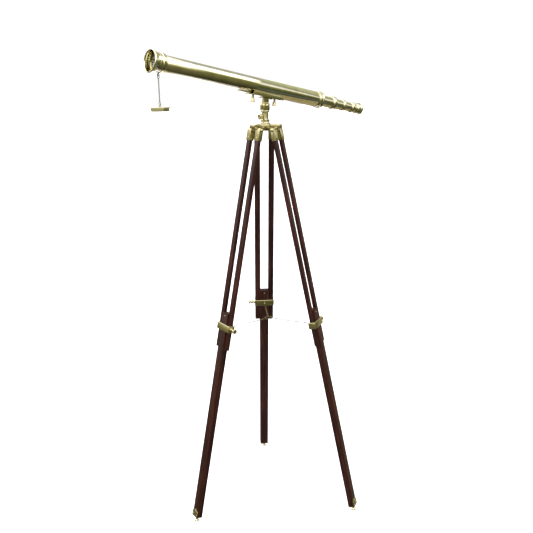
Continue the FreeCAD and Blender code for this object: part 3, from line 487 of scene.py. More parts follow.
def lit_wall(name):
    """White studio wall with even light on it and a faint fall-off towards the ceiling."""
    material, tree, shader = finish(name)
    place = add(tree, "TexCoord").outputs["Object"]
    height = add(tree, "SeparateXYZ", Vector=place).outputs["Z"]
    fall = add(tree, "MapRange", Value=height, From_Min=0.0, From_Max=80.0, To_Min=1.0, To_Max=0.96)
    tree.links.new(fall.outputs["Result"], shader.inputs["Emission Strength"])
    shader.inputs["Emission Color"].default_value = linear("#FFFFFF")
    shader.inputs["Base Color"].default_value = linear("#000000")
    return material


FINISHES = {}


def make_finishes(look):
    tilt = math.atan2(-Vector(joint("draw_1_slide")["axis"]).z, Vector(joint("draw_1_slide")["axis"]).x)
    FINISHES.update(
        spun=brass("Lacquered spun brass", look.brass_colour, look.tarnish_colour, look.polish, (0, -tilt, 0), 900.0, 0.05),
        turned=brass("Turned brass, upright", look.brass_colour, look.tarnish_colour, look.polish + 0.04,
                     (0, math.pi / 2, 0), 900.0, 0.08),
        cast=brass("Filed cast brass", look.cast_colour, look.tarnish_colour, look.polish + 0.1, None, 1500.0, 0.1),
        drawn=brass("Drawn brass wire", look.wire_colour, look.wire_colour, look.polish + 0.3, None, 2500.0, 0.15),
        wood=stained_wood("Dark stained hardwood", look.wood_dark, look.wood_middle, look.wood_light),
        glass=lens_glass("Coated lens glass"),
        black=blackened("Blackened brass"),
    )


NODE_FINISH = (
    ("leg_slats", "wood"), ("lower_leg", "wood"), ("objective_lenses", "glass"), ("eyepiece_lenses", "glass"),
    ("erector_lenses", "glass"), ("tube_baffles", "black"), ("lens_retaining_ring", "black"), ("erector_cell", "black"),
    ("main_tube", "spun"), ("draw_", "spun"), ("bell_hood", "spun"), ("objective_collar", "spun"),
    ("rear_collar", "spun"), ("eyepiece_bell", "spun"), ("swivel_post", "turned"), ("base_socket", "turned"),
    ("dust_cap", "turned"), ("foot_stud", "turned"), ("cap_chain", "drawn"), ("spreader", "drawn"), ("", "cast"),
)


# ---- sizes and looks that a user would change -----------------------------------------
class TripodLook(bpy.types.PropertyGroup):
    brass_colour: bpy.props.FloatVectorProperty(
        name="Brass", description="Clean lacquered brass", subtype="COLOR", size=4, min=0, max=1,
        default=linear("#D2CCAA"))
    cast_colour: bpy.props.FloatVectorProperty(
        name="Cast brass", description="Castings, wire and screws", subtype="COLOR", size=4, min=0, max=1,
        default=linear("#BEB488"))
    tarnish_colour: bpy.props.FloatVectorProperty(
        name="Tarnish", description="Stains under the lacquer", subtype="COLOR", size=4, min=0, max=1,
        default=linear("#BCB48A"))
    wire_colour: bpy.props.FloatVectorProperty(
        name="Brass wire", description="Chains and rings, dulled by handling", subtype="COLOR", size=4, min=0, max=1,
        default=linear("#645C3A"))
    wood_dark: bpy.props.FloatVectorProperty(
        name="Wood grain", description="Darkest streaks", subtype="COLOR", size=4, min=0, max=1,
        default=linear("#160805"))
    wood_middle: bpy.props.FloatVectorProperty(
        name="Wood", description="Stained wood between the streaks", subtype="COLOR", size=4, min=0, max=1,
        default=linear("#35170D"))
    wood_light: bpy.props.FloatVectorProperty(
        name="Wood highlights", description="Lightest streaks", subtype="COLOR", size=4, min=0, max=1,
        default=linear("#522615"))
    polish: bpy.props.FloatProperty(
        name="Polish", description="Roughness of the polished tubes", default=0.055, min=0.0, max=1.0, subtype="FACTOR")
    edge: bpy.props.FloatProperty(
        name="Casting edges", description="Rounding of filed edges, in millimetres", default=0.5, min=0.1, max=1.5)


class StageLook(bpy.types.PropertyGroup):
    floor_colour: bpy.props.FloatVectorProperty(
        name="Floor", description="Matt studio floor", subtype="COLOR", size=4, min=0, max=1,
        default=linear("#F4F3F1"))
    distance: bpy.props.FloatProperty(
        name="Camera distance", description="From the tripod's axis", default=2.1504, min=0.5, unit="LENGTH")
    height: bpy.props.FloatProperty(
        name="Camera height", description="Above the floor", default=1.408, min=0.1, unit="LENGTH")
    azimuth: bpy.props.FloatProperty(
        name="Camera azimuth", description="Where the camera stands round the tripod", subtype="ANGLE",
        default=math.radians(230))
    tilt: bpy.props.FloatProperty(
        name="Camera tilt", description="Below the horizon", subtype="ANGLE", default=math.radians(14.92))
    lens: bpy.props.FloatProperty(name="Lens", description="Focal length in millimetres", default=45.4, min=10)
    key_power: bpy.props.FloatProperty(name="Key light", description="Overhead softbox", unit="POWER", default=30.0)
    room_light: bpy.props.FloatProperty(
        name="Room light", description="Brightness of the white cards round the stage", default=3.2, min=0)


# ---- legs ------------------------------------------------------------------------------
HINGE = joint("leg_1_fold")["pos_m"][2] / MM
SLAT_X, SLAT_Y, GAP_Y = 5.5, 32.5, 13.8
LOWER_X, LOWER_Y = 10.0, 15.5
BAND = 634.0
BAND_X, BAND_Y = 12.1, 34.3
SLAT_END, LOWER_TOP = 704.0, 585.0


def remember_grain(piece, leg, side):
    """Keep each corner's place on the leg for the grain, shifted so that no two pieces match."""
    layer = piece.data.attributes.new("leg_place", "FLOAT_VECTOR", "POINT")
    shift = Vector((0.31 * leg, 0.17 * side, 1.3 * leg + 0.4 * side))
    for vertex, item in zip(piece.data.vertices, layer.data):
        item.vector = vertex.co + shift


def make_leg_wood(leg):
    place = leg_place(leg)
    slats = []
    for side in (-1, 1):
        near, far = sorted((side * GAP_Y, side * SLAT_Y))
        slat = bar((-SLAT_X, near, -SLAT_END), (SLAT_X, far, -12.0), bevel=1.1)
        edit(slat, action="SELECT")
        bpy.ops.mesh.bisect(plane_co=(0, 0, -0.4), plane_no=(0, 0, 1))
        leave()
        remember_grain(slat, leg, side)
        slats.append(slat)
    settle(joined(slats), f"upper_slats_{leg}", f"upper_leg_{leg}", FINISHES["wood"],
           (f"leg_slats_{leg}",), place)
    low = (place.inverted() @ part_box(f"foot_shoe_{leg}")[0]).z
    shoe = frame["nodes"][f"foot_shoe_{leg}"]
    inverse = place.inverted()
    sole = min((inverse @ v.co).z for v in shoe.data.vertices) / MM + 1.6
    lower = bar((-LOWER_X, -LOWER_Y, sole), (LOWER_X, LOWER_Y, -LOWER_TOP), bevel=1.9, segments=2)
    for side in (-1, 1):
        near, far = sorted((side * (GAP_Y - 0.3), side * (LOWER_Y + 2)))
        cut(lower, bar((-SLAT_X - 0.3, near, sole - 5), (SLAT_X + 0.3, far, 5 - LOWER_TOP), bevel=0.01, segments=1))
    remember_grain(lower, leg, 3)
    settle(lower, f"lower_bar_{leg}", f"lower_leg_{leg}", FINISHES["wood"],
           (f"lower_leg_{leg}",), place)
    pins = []
    for way in (-1, 1):
        dome = lathe(closed([(0, 0), (0, 2.3)] + arc(0, 0, 0.9, 90, 0, 5, ry=2.3)[1:]), steps=28)
        flip = Matrix.Diagonal((way, 1, 1, 1))
        place_of = Matrix.Translation(Vector((way * (LOWER_X - 0.1), 0, -LOWER_TOP - 11)) * MM) @ flip
        pins.append(copied_and_dropped(dome, place_of))
    settle(joined(pins), f"stop_pin_{leg}", f"lower_leg_{leg}", FINISHES["cast"], (), place)


def make_ferrules(leg, edge):
    caps = from_node(f"leg_ferrules_{leg}", edge)
    settle(caps, f"slat_ferrules_{leg}", f"upper_leg_{leg}", FINISHES["cast"],
           (f"leg_ferrules_{leg}",))
    heads = []
    for side in (-1, 1):
        for way in (-1, 1):
            y = side * (GAP_Y + SLAT_Y) / 2
            dome = screw_head(2.6, 1.1, 0.6, (0, 0, 0))
            turn = Matrix.Rotation(way * math.pi / 2, 4, "Y")
            heads.append(copied_and_dropped(
                dome, Matrix.Translation(Vector((way * (SLAT_X + 1.55), y, -24)) * MM) @ turn))
    settle(joined(heads), f"ferrule_screws_{leg}", f"upper_leg_{leg}", FINISHES["cast"], (),
           leg_place(leg))


def make_clamp(leg, edge):
    place = leg_place(leg)
    low, high = -BAND - 11, -BAND + 11
    band = bar((-BAND_X, -BAND_Y, low), (BAND_X, BAND_Y, high), bevel=1.5, segments=3)
    cut(band, bar((-SLAT_X, -SLAT_Y, low - 3), (SLAT_X, SLAT_Y, high + 3), bevel=0.01, segments=1))
    cut(band, bar((-LOWER_X - 0.3, -LOWER_Y - 0.3, low - 3), (LOWER_X + 0.3, LOWER_Y + 0.3, high + 3), bevel=0.01,
                  segments=1))
    boss = lathe(closed([(BAND_Y - 0.2, 2.56), (BAND_Y - 0.2, 6.2), (BAND_Y + 1.0, 5.6), (BAND_Y + 4.2, 5.5),
                         (BAND_Y + 5.0, 4.7), (BAND_Y + 5.0, 2.56)]), steps=40)
    copied_and_dropped(boss, Matrix.Translation((0, 0, -BAND * MM)) @ Matrix.Rotation(math.pi / 2, 4, "Z"))
    cut(band, disc(2.56, SLAT_Y - 1, BAND_Y + 1, "Y", (0, 0, -BAND), bevel=0))
    eye_x = -BAND_X - 5.6
    eye = ring(3.4, 1.2, (eye_x, 0, -BAND), "Y")
    stem = disc(1.2, eye_x + 3.4, -BAND_X + 0.3, "X", (0, 0, -BAND), bevel=0, sides=20)
    settle(joined([band, boss, eye, stem]), f"leg_clamp_{leg}", f"upper_leg_{leg}", FINISHES["cast"],
           (f"clamp_band_{leg}",), place)
    face = BAND_Y + 5.3
    head = face + 12.0
    outline = [(SLAT_Y + 0.3, 0), (SLAT_Y + 0.3, 2.4), (face, 2.4)]
    outline += arc(face + 5.4, 0, 5.4, 160, 20, 14)
    outline += [(head, 2.4), (head, 6.6), (head + 0.8, 7.6), (head + 2.5, 7.6), (head + 4.2, 7.6), (head + 5, 6.6),
                (head + 5.2, 0)]
    screw = lathe(closed(outline), steps=64)
    fluted(screw, 7.6, 16, 0.8, head + 0.5, head + 4.5)
    turn = Matrix.Translation((0, 0, -BAND * MM)) @ Matrix.Rotation(math.pi / 2, 4, "Z")
    settle(screw, f"leg_clamp_screw_{leg}", f"clamp_screw_{leg}", FINISHES["cast"],
           (f"clamp_screw_{leg}",), place @ turn)


def make_foot(leg, edge):
    shoe = from_node(f"foot_shoe_{leg}", 0.35)
    settle(shoe, f"shoe_plate_{leg}", f"lower_leg_{leg}", FINISHES["cast"], (f"foot_shoe_{leg}",))
    place = leg_place(leg)
    inverse = place.inverted()
    sole = min((inverse @ v.co).z for v in frame["nodes"][f"foot_shoe_{leg}"].data.vertices) / MM
    heads = []
    for y, z in ((-10, 8), (10, 8), (0, 20)):
        turn = Matrix.Rotation(math.pi / 2, 4, "Y")
        heads.append(copied_and_dropped(screw_head(2.4, 1.1, 0.6, (0, 0, 0)),
                                        Matrix.Translation(Vector((11.5, y, sole + z)) * MM) @ turn))
    settle(joined(heads), f"shoe_screws_{leg}", f"lower_leg_{leg}", FINISHES["cast"], (), place)
    stud = from_node(f"foot_stud_{leg}", 0.3)
    settle(stud, f"levelling_foot_{leg}", f"lower_leg_{leg}", FINISHES["turned"],
           (f"foot_stud_{leg}",))


# ---- chains ------------------------------------------------------------------------------
def link_at(length, width, wire, centre, along, flat):
    """A torus drawn out into a long link, laid at its place in metres."""
    half, bend = length / 2 - width / 2, width / 2 - wire
    piece = ring(bend, wire, (0, 0, 0), "Z", steps=20, sides=8)
    for way in (-1, 1):
        pick(piece, lambda co: way * co.x > -1e-7 * way)
        bpy.ops.transform.translate(value=(way * half * MM, 0, 0))
    leave()
    return copied_and_dropped(piece, axes_at(centre, along, flat.cross(along), flat))


def chain_links(start, along, normal, count, size, pitch):
    length, width, wire = size
    other = along.cross(normal)
    links = []
    for i in range(count):
        centre = start + along * (length / 2 - wire + pitch * i) * MM
        links.append(link_at(length, width, wire, centre, along, normal if i % 2 == 0 else other))
    return links


def make_spreader():
    hub = post_place().translation
    links, width, wire, slack, reach = 17, 6.5, 0.8, 0.12, 25.0
    overlap = 4 * wire + slack
    for leg in LEGS:
        eye = Vector(joint(f"spreader_chain_{leg}_swing")["pos_m"])
        inward = (Vector((hub.x, hub.y, eye.z)) - eye).normalized()
        radius = math.hypot(eye.x - hub.x, eye.y - hub.y) / MM
        span = radius - reach + 2 * wire + slack
        length = (span + (links - 1) * overlap + 2 * wire) / links
        pieces = chain_links(eye, inward, Vector((0, 0, 1)), links, (length, width, wire), length - overlap)
        settle(joined(pieces), f"stay_chain_{leg}", f"spreader_chain_{leg}", FINISHES["drawn"],
               (f"spreader_chain_{leg}",), smooth=60)
    height = Vector(joint("spreader_chain_1_swing")["pos_m"]).z
    middle_ring = copied_and_dropped(ring(12.6, 1.4, (0, 0, 0), "Z", steps=64, sides=14),
                                     Matrix.Translation((hub.x, hub.y, height)))
    pieces = [middle_ring]
    inner = 12.6 - 1.4 - wire - slack
    for leg in LEGS:
        along = lobe_place(leg).to_3x3().col[0].normalized()
        side = Vector((0, 0, 1)).cross(along)
        centre = Vector((hub.x, hub.y, height)) + along * (reach + inner) / 2 * MM
        pieces.append(link_at(reach - inner + 2 * wire, width, wire, centre, along, side))
    settle(joined(pieces), "stay_ring", "spreader_ring", FINISHES["drawn"], ("spreader_ring",),
           smooth=60)


# ---- tripod head ----------------------------------------------------------------------------
def make_head(edge):
    settle(from_node("hub_plate", edge), "hub_casting", "head", FINISHES["cast"], ("hub_plate",))
    low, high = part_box("hub_screws")
    top = low.z / MM
    screws, bolts = [], []
    for leg in LEGS:
        turn = lobe_place(leg)
        screws.append(copied_and_dropped(screw_head(4.2, 2.4, 0.9, (0, 0, 0)),
                                         turn @ Matrix.Translation(Vector((27, 0, top)) * MM)))
        for side in (-1, 1):
            head = screw_head(4.6, 3.2, 1.0, (0, 0, 0))
            face = Matrix.Rotation(-side * math.pi / 2, 4, "X")
            bolts.append(copied_and_dropped(head, turn @ Matrix.Translation(
                Vector((38, side * 34.4, HINGE)) * MM) @ face))
        bolts.append(copied_and_dropped(disc(2.45, -34.5, 34.5, "Y", bevel=0),
                                        turn @ Matrix.Translation(Vector((38, 0, HINGE)) * MM)))
    settle(joined(screws), "plate_screws", "head", FINISHES["cast"], ("hub_screws",))
    settle(joined(bolts), "hinge_pins", "head", FINISHES["cast"], ("leg_hinge_bolts",))
    plate = top
    place = post_place()
    bore = 6.06
    outline = [(plate + 0.02, bore), (plate, 15.5), (plate + 3.0, 15.5)]
    outline += arc(plate + 3.0, 13.5, 2.0, 90, 0, 5)[1:]
    outline += arc(plate + 6.9, 13.6, 1.9, 180, 360, 8, ry=0.8)[1:]
    outline += [(plate + 9.4, 14.3), (plate + 12.6, 14.3), (plate + 13.6, 13.4), (plate + 14.0, 12.0)]
    outline += arc(plate + 15.4, 12.4, 1.4, 180, 270, 4)[1:]
    outline += [(plate + 34.7, 11.0), (plate + 35.7, 10.2), (plate + 35.7, bore)]
    socket = lathe(closed(outline), upright=True)
    knob_z = Vector(joint("azimuth_clamp_screw")["pos_m"]).z / MM
    cut(socket, disc(2.56, -18, -4, "X", (0, 0, knob_z), bevel=0))
    settle(socket, "bearing_socket", "head", FINISHES["turned"], ("base_socket",), place)
    base = plate + 36.0
    outline = [(plate + 4, 0), (plate + 4, 5.4), (plate + 4.6, 6.0), (base, 6.0), (base, 12.7)]
    outline += arc(base + 0.7, 12.6, 0.7, 180, 90, 3)[1:] + [(base + 4.2, 13.3)]
    outline += arc(base + 4.4, 11.7, 1.6, 90, 0, 5)[1:] + [(base + 6.0, 0)]
    settle(lathe(closed(outline), upright=True), "swivel_spindle", "swivel", FINISHES["turned"],
           ("swivel_post",), place)
    outline = [(-6.3, 0), (-6.3, 2.5), (-15, 2.5), (-15, 5.6)] + arc(-16.9, 6.7, 1.9, 0, 90, 4)[1:]
    outline += [(-18.5, 8.6), (-21.5, 8.6), (-23.2, 8.6)] + arc(-23.2, 6.7, 1.8, 90, 180, 4)[1:]
    outline += [(-25, 3.4), (-24.6, 2.6), (-24.6, 0)]
    knob = lathe(closed(outline), steps=80)
    fluted(knob, 8.6, 20, 0.8, -23.6, -16.4)
    knob_at = place @ Matrix.Translation((0, 0, knob_z * MM))
    settle(knob, "azimuth_thumbscrew", "azimuth_knob", FINISHES["cast"], ("azimuth_knob",), knob_at)
    settle(from_node("tilt_yoke", edge), "yoke_casting", "swivel", FINISHES["cast"], ("tilt_yoke",))
    tilt_z = Vector(joint("tilt")["pos_m"]).z / MM
    at = place @ Matrix.Translation((0, 0, tilt_z * MM))
    head = copied_and_dropped(screw_head(6.0, 4.5, 1.2, (0, 0, 0)),
                              Matrix.Translation((0, -11 * MM, 0)) @ Matrix.Rotation(math.pi / 2, 4, "X"))
    settle(joined([head, disc(2.98, -11.3, 15.5, "Y")]), "tilt_axle", "swivel", FINISHES["cast"],
           ("tilt_bolt",), at)
    nut = disc(6.0, 11.0, 15.5, "Y", bevel=0.9, sides=6)
    settle(nut, "tilt_axle_nut", "swivel", FINISHES["cast"], ("tilt_nut",), at)


# ---- cradle -----------------------------------------------------------------------------------
def make_cradle(edge):
    settle(from_node("cradle", edge), "cradle_channel", "cradle", FINISHES["cast"], ("cradle",))
    settle(from_node("cradle_tongue", edge), "cradle_hanger", "cradle", FINISHES["cast"],
           ("cradle_tongue",))
    floor = -24.5 - 2.7 - 0.3 - 2.8
    for end, station in (("front", -42.0), ("rear", 46.0)):
        top = floor - 0.3
        neck = top - 7.5
        end_z = neck - 12.5
        outline = [(floor + 2.95, 0), (floor + 2.95, 2.5), (top, 2.5), (top, 4.0), (neck + 5, 3.4), (neck, 3.2)]
        outline += arc(neck - 1.2, 4.0, 1.2, 0, 90, 4)[1:]
        outline += [(neck - 4, 5.9), (neck - 8, 6.8), (end_z + 2.4, 7.6), (end_z + 1.0, 7.6), (end_z + 0.3, 7.0),
                    (end_z, 6.0), (end_z + 0.4, 4.4), (end_z + 0.4, 0)]
        knob = lathe(closed(outline), steps=72, upright=True)
        pick(knob, lambda co: end_z + 0.8 < co.z / MM < neck - 2 and math.hypot(co.x, co.y) > 4.6 * MM
             and round(math.atan2(co.y, co.x) / TURN * 36) % 2 == 0)
        bpy.ops.transform.resize(value=(0.94, 0.94, 1), center_override=(0, 0, 0))
        leave()
        settle(knob, f"cradle_thumbscrew_{end}", f"cradle_screw_{end}", FINISHES["cast"],
               (f"cradle_screw_{end}",), telescope_place() @ Matrix.Translation((station * MM, 0, 0)))


# ---- telescope ----------------------------------------------------------------------------------
DRAWS = (
    # outer radius, front end, collar front, collar back, collar radius
    (17.6, 120.0, 292.0, 314.0, 21.9),
    (16.2, 195.0, 344.0, 360.0, 18.9),
    (14.8, 248.0, 388.0, 404.0, 18.6),
)


def on_telescope(piece, name, body, finish_name, nodes):
    return settle(piece, name, body, FINISHES[finish_name], nodes, telescope_place())


def make_objective_end():
    mouth, tube = -409.0, 24.5
    outline = [(mouth, tube + 4.3), (mouth - 1.2, tube + 5.0), (mouth - 1.5, tube + 5.7)]
    outline += arc(mouth + 1.4, tube + 4.9, 2.9, 165, 60, 12)
    outline += [(mouth + 4.2, tube + 6.5), (mouth + 5.6, tube + 5.3), (mouth + 7.5, tube + 4.5), (mouth + 10, tube + 4.0),
                (mouth + 14, tube + 3.4), (mouth + 19, tube + 3.1), (mouth + 19, tube + 1.9), (mouth + 9, tube + 1.9),
                (mouth + 5, tube + 2.7), (mouth + 2, tube + 3.6)]
    on_telescope(lathe(closed(outline), steps=128), "flared_hood", "telescope", "spun", ("bell_hood",))
    hood, out, bore = -390.0, tube + 3.7, tube - 1.9
    outline = [(hood, bore), (hood, out - 0.4), (hood + 0.4, out), (hood + 3.9, out), (hood + 4.3, out - 0.3)]
    outline += arc(hood + 7.3, out - 0.3, 3.0, 180, 360, 12, ry=1.4)
    outline += [(hood + 10.7, out), (hood + 18.6, out), (hood + 19.6, out - 0.3), (hood + 20.6, out - 1.0),
                (hood + 21.4, out - 2.2), (hood + 22, tube + 0.6), (hood + 22, tube), (-386.0, tube), (-386.0, bore)]
    on_telescope(lathe(closed(outline), steps=128), "objective_mount", "telescope", "spun", ("objective_collar",))
    low = hood + 8
    lens = lathe(closed([(-389 - 2.2, 0)] + [(-389 - 2.2 * (1 - (i / 10) ** 2), bore * i / 10) for i in range(1, 11)]
                        + [(-385 + 2.2 * (1 - (i / 10) ** 2), bore * i / 10) for i in range(10, -1, -1)]), steps=96)
    back = -384.8
    flint = lathe(closed([(back + 2.2, 0)] + [(back + 2.2 * (1 - (i / 10) ** 2), bore * i / 10) for i in range(1, 11)]
                         + [(back + 3.0, bore), (back + 3.0, 0)]), steps=96)
    on_telescope(joined([lens, flint]), "objective_pair", "telescope", "glass", ("objective_lenses",))


def make_main_tube():
    front, back, tube = -386.0, 236.0, 24.5
    outer = [(front, tube - 0.2), (front + 0.3, tube), (back - 0.3, tube), (back, tube - 0.2), (back, tube - 1.2),
             (front, tube - 1.2)]
    shell = lathe(closed(outer), steps=160)
    on_telescope(shell, "main_barrel", "telescope", "spun", ("main_tube",))
    settle(from_node("mount_rail", 0.4), "dovetail_rail", "telescope", FINISHES["cast"],
           ("mount_rail",))
    bore, ring_front = 17.9, 214.0
    outline = [(205, bore), (205, tube - 1.25), (235.9, tube - 1.25), (235.9, tube + 0.02), (ring_front + 6, tube + 0.02)]
    outline += arc(ring_front + 7.4, tube, 1.3, 180, 90, 4, ry=0.8)[1:]
    outline += [(ring_front + 10, tube + 0.9)] + arc(ring_front + 16.5, tube + 1.9, 5.5, 190, 350, 10, ry=0.9)
    outline += arc(ring_front + 24, tube + 1.4, 3.6, 170, 10, 10, ry=1.6)
    outline += [(243 - 0.9, tube + 0.6), (243, tube - 0.6), (243, bore)]
    on_telescope(lathe(closed(outline), steps=128), "end_ring", "telescope", "spun", ("rear_collar",))


def make_draw(i):
    radius, front, collar_front, collar_back, out = DRAWS[i]
    back = collar_back if i < 2 else 412.0
    around = 24.5 - 1.2 if i == 0 else DRAWS[i - 1][0] - 1.1
    guide = around - 0.3
    outline = [(front, radius - 1.1), (front, guide - 0.2), (front + 0.2, guide), (front + 5.8, guide),
               (front + 6, guide - 0.2), (front + 6, radius), (back - 0.2, radius), (back, radius - 0.2),
               (back, radius - 1.1)]
    if guide <= radius:
        outline = [(front, radius - 1.1), (front, radius), (back - 0.2, radius), (back, radius - 0.2), (back, radius - 1.1)]
    on_telescope(lathe(closed(outline), steps=128), f"draw_barrel_{i + 1}", f"draw_{i + 1}", "spun",
                 (f"draw_tube_{i + 1}",))
    edge = radius + (out - radius) * 0.35
    middle_at = (collar_front + collar_back) / 2
    half = (collar_back - collar_front) / 2 - 2.5
    outline = [(collar_front, radius), (collar_front, edge - 0.3), (collar_front + 0.3, edge), (collar_front + 1.7, edge),
               (collar_front + 2.1, edge - 0.35)]
    outline += arc(middle_at, edge - 0.35, half, 172, 8, 20, ry=out - edge + 0.35)
    outline += [(collar_back - 2.1, edge - 0.35), (collar_back - 1.7, edge), (collar_back - 0.3, edge),
                (collar_back, edge - 0.3), (collar_back, radius)]
    on_telescope(lathe(closed(outline), steps=128), f"draw_bead_{i + 1}", f"draw_{i + 1}", "spun",
                 (f"draw_collar_{i + 1}",))


def make_eyepiece():
    start, back, rim = 412.0, 442.0, 20.4
    outline = [(start, 9.0), (start, 13.7), (start, rim - 4.2), (start + 0.3, rim - 4.0), (start + 3, rim - 4.0),
               (start + 3.6, rim - 4.3), (start + 4.6, rim - 3.5), (start + 6.5, rim - 2.4), (start + 10, rim - 1.4),
               (start + 14, rim - 0.8), (start + 16.5, rim - 0.5), (start + 17.5, rim - 0.9)]
    outline += arc(start + 22.5, rim - 1.6, 4.6, 165, 10, 12, ry=1.6)
    outline += [(start + 28.6, rim - 2.0), (start + 29.7, rim - 3.0), (back, rim - 3.7), (back - 0.6, rim - 4.3)]
    outline += [(back - 9 + 8.4 * (r / 16) ** 2.2, 6.5 + 9.6 * r / 16) for r in range(15, 0, -2)]
    outline += [(back - 9, 6.5), (back - 11.5, 6.5), (back - 11.5, 9.0)]
    on_telescope(lathe(closed(outline), steps=128), "eye_cup", "draw_3", "spun", ("eyepiece_bell",))
    eye = lathe(closed([(426.5 - 1.2 * (1 - (i / 8) ** 2), 9.0 * i / 8) for i in range(9)] + [(429.5, 9.0), (429.5, 0)]),
                steps=64)
    field = lathe(closed([(385 - 2.0 * (1 - (i / 8) ** 2), 13.65 * i / 8) for i in range(9)]
                         + [(388, 13.65), (388, 0)]), steps=64)
    on_telescope(joined([eye, field]), "eye_and_field_lens", "draw_3", "glass", ("eyepiece_lenses",))


def make_dust_cap():
    station, out, stem = -378.7, 28.2, 3.6
    eye = ring(2.9, 0.9, (station, 0, -out - stem), "Y")
    post = disc(0.9, -out - stem + 2.9, -out + 0.3, "Z", (station, 0, 0), bevel=0, sides=16)
    on_telescope(joined([eye, post]), "hood_eye", "telescope", "drawn", ("cap_chain_eye",))
    top = Vector(joint("cap_chain_swing")["pos_m"])
    low = Vector(joint("dust_cap_swing")["pos_m"])
    down, wire, width, length, big, big_wire, slack = Vector((0, 0, -1)), 0.55, 4.4, 6.6, 4.6, 0.8, 0.12
    hang = big_wire + wire + slack
    pieces = [copied_and_dropped(ring(big, big_wire, (0, 0, 0), "X"), Matrix.Translation(spot + Vector((0, 0, z * MM))))
              for spot, z in ((top, -big), (low, big))]
    pieces += chain_links(top + down * (2 * big - hang) * MM, down, Vector((0, 1, 0)), 15, (length, width, wire),
                          length - 4 * wire - slack)
    settle(joined(pieces), "cap_safety_chain", "cap_chain", FINISHES["drawn"], ("cap_chain",),
           smooth=60)
    lid_top, flange, plug, wall = -5.1, 28.4, 26.0, 1.4
    under = lid_top - 2.6
    outline = [(lid_top + 0.0, 0), (lid_top, 6.0), (lid_top - 0.35, 6.5), (lid_top - 0.35, flange - 5)]
    outline += arc(lid_top - 1.0, flange - 1.0, 1.0, 0, 90, 6) + [(under + 0.3, flange), (under, flange - 0.3)]
    outline += [(under, plug), (under - 8.2, plug), (under - 8.6, plug - 0.4), (under - 8.6, plug - wall),
                (lid_top - wall, plug - wall), (lid_top - wall, 0)]
    lid = lathe(closed(outline), steps=128, upright=True)
    loop = ring(2.9, 0.9, (0, 0, 0), "Y")
    foot = disc(1.2, lid_top - 0.2, -2.9, "Z", bevel=0, sides=20)
    settle(joined([lid, loop, foot]), "lens_cap", "dust_cap", FINISHES["turned"], ("dust_cap",),
           Matrix.Translation(low))


# ---- stage ------------------------------------------------------------------------------------
def area_light(name, place, aim, size, power, colour="#FFFFFF"):
    only(None)
    bpy.ops.object.light_add(type="AREA", location=place)
    lamp = bpy.context.object
    lamp.name = name
    lamp.data.shape = "RECTANGLE"
    lamp.data.size, lamp.data.size_y = size
    lamp.data.energy = power
    lamp.data.color = linear(colour)[:3]
    lamp.visible_glossy = False
    lamp.rotation_euler = (Vector(aim) - Vector(place)).to_track_quat("-Z", "Y").to_euler()
    return lamp


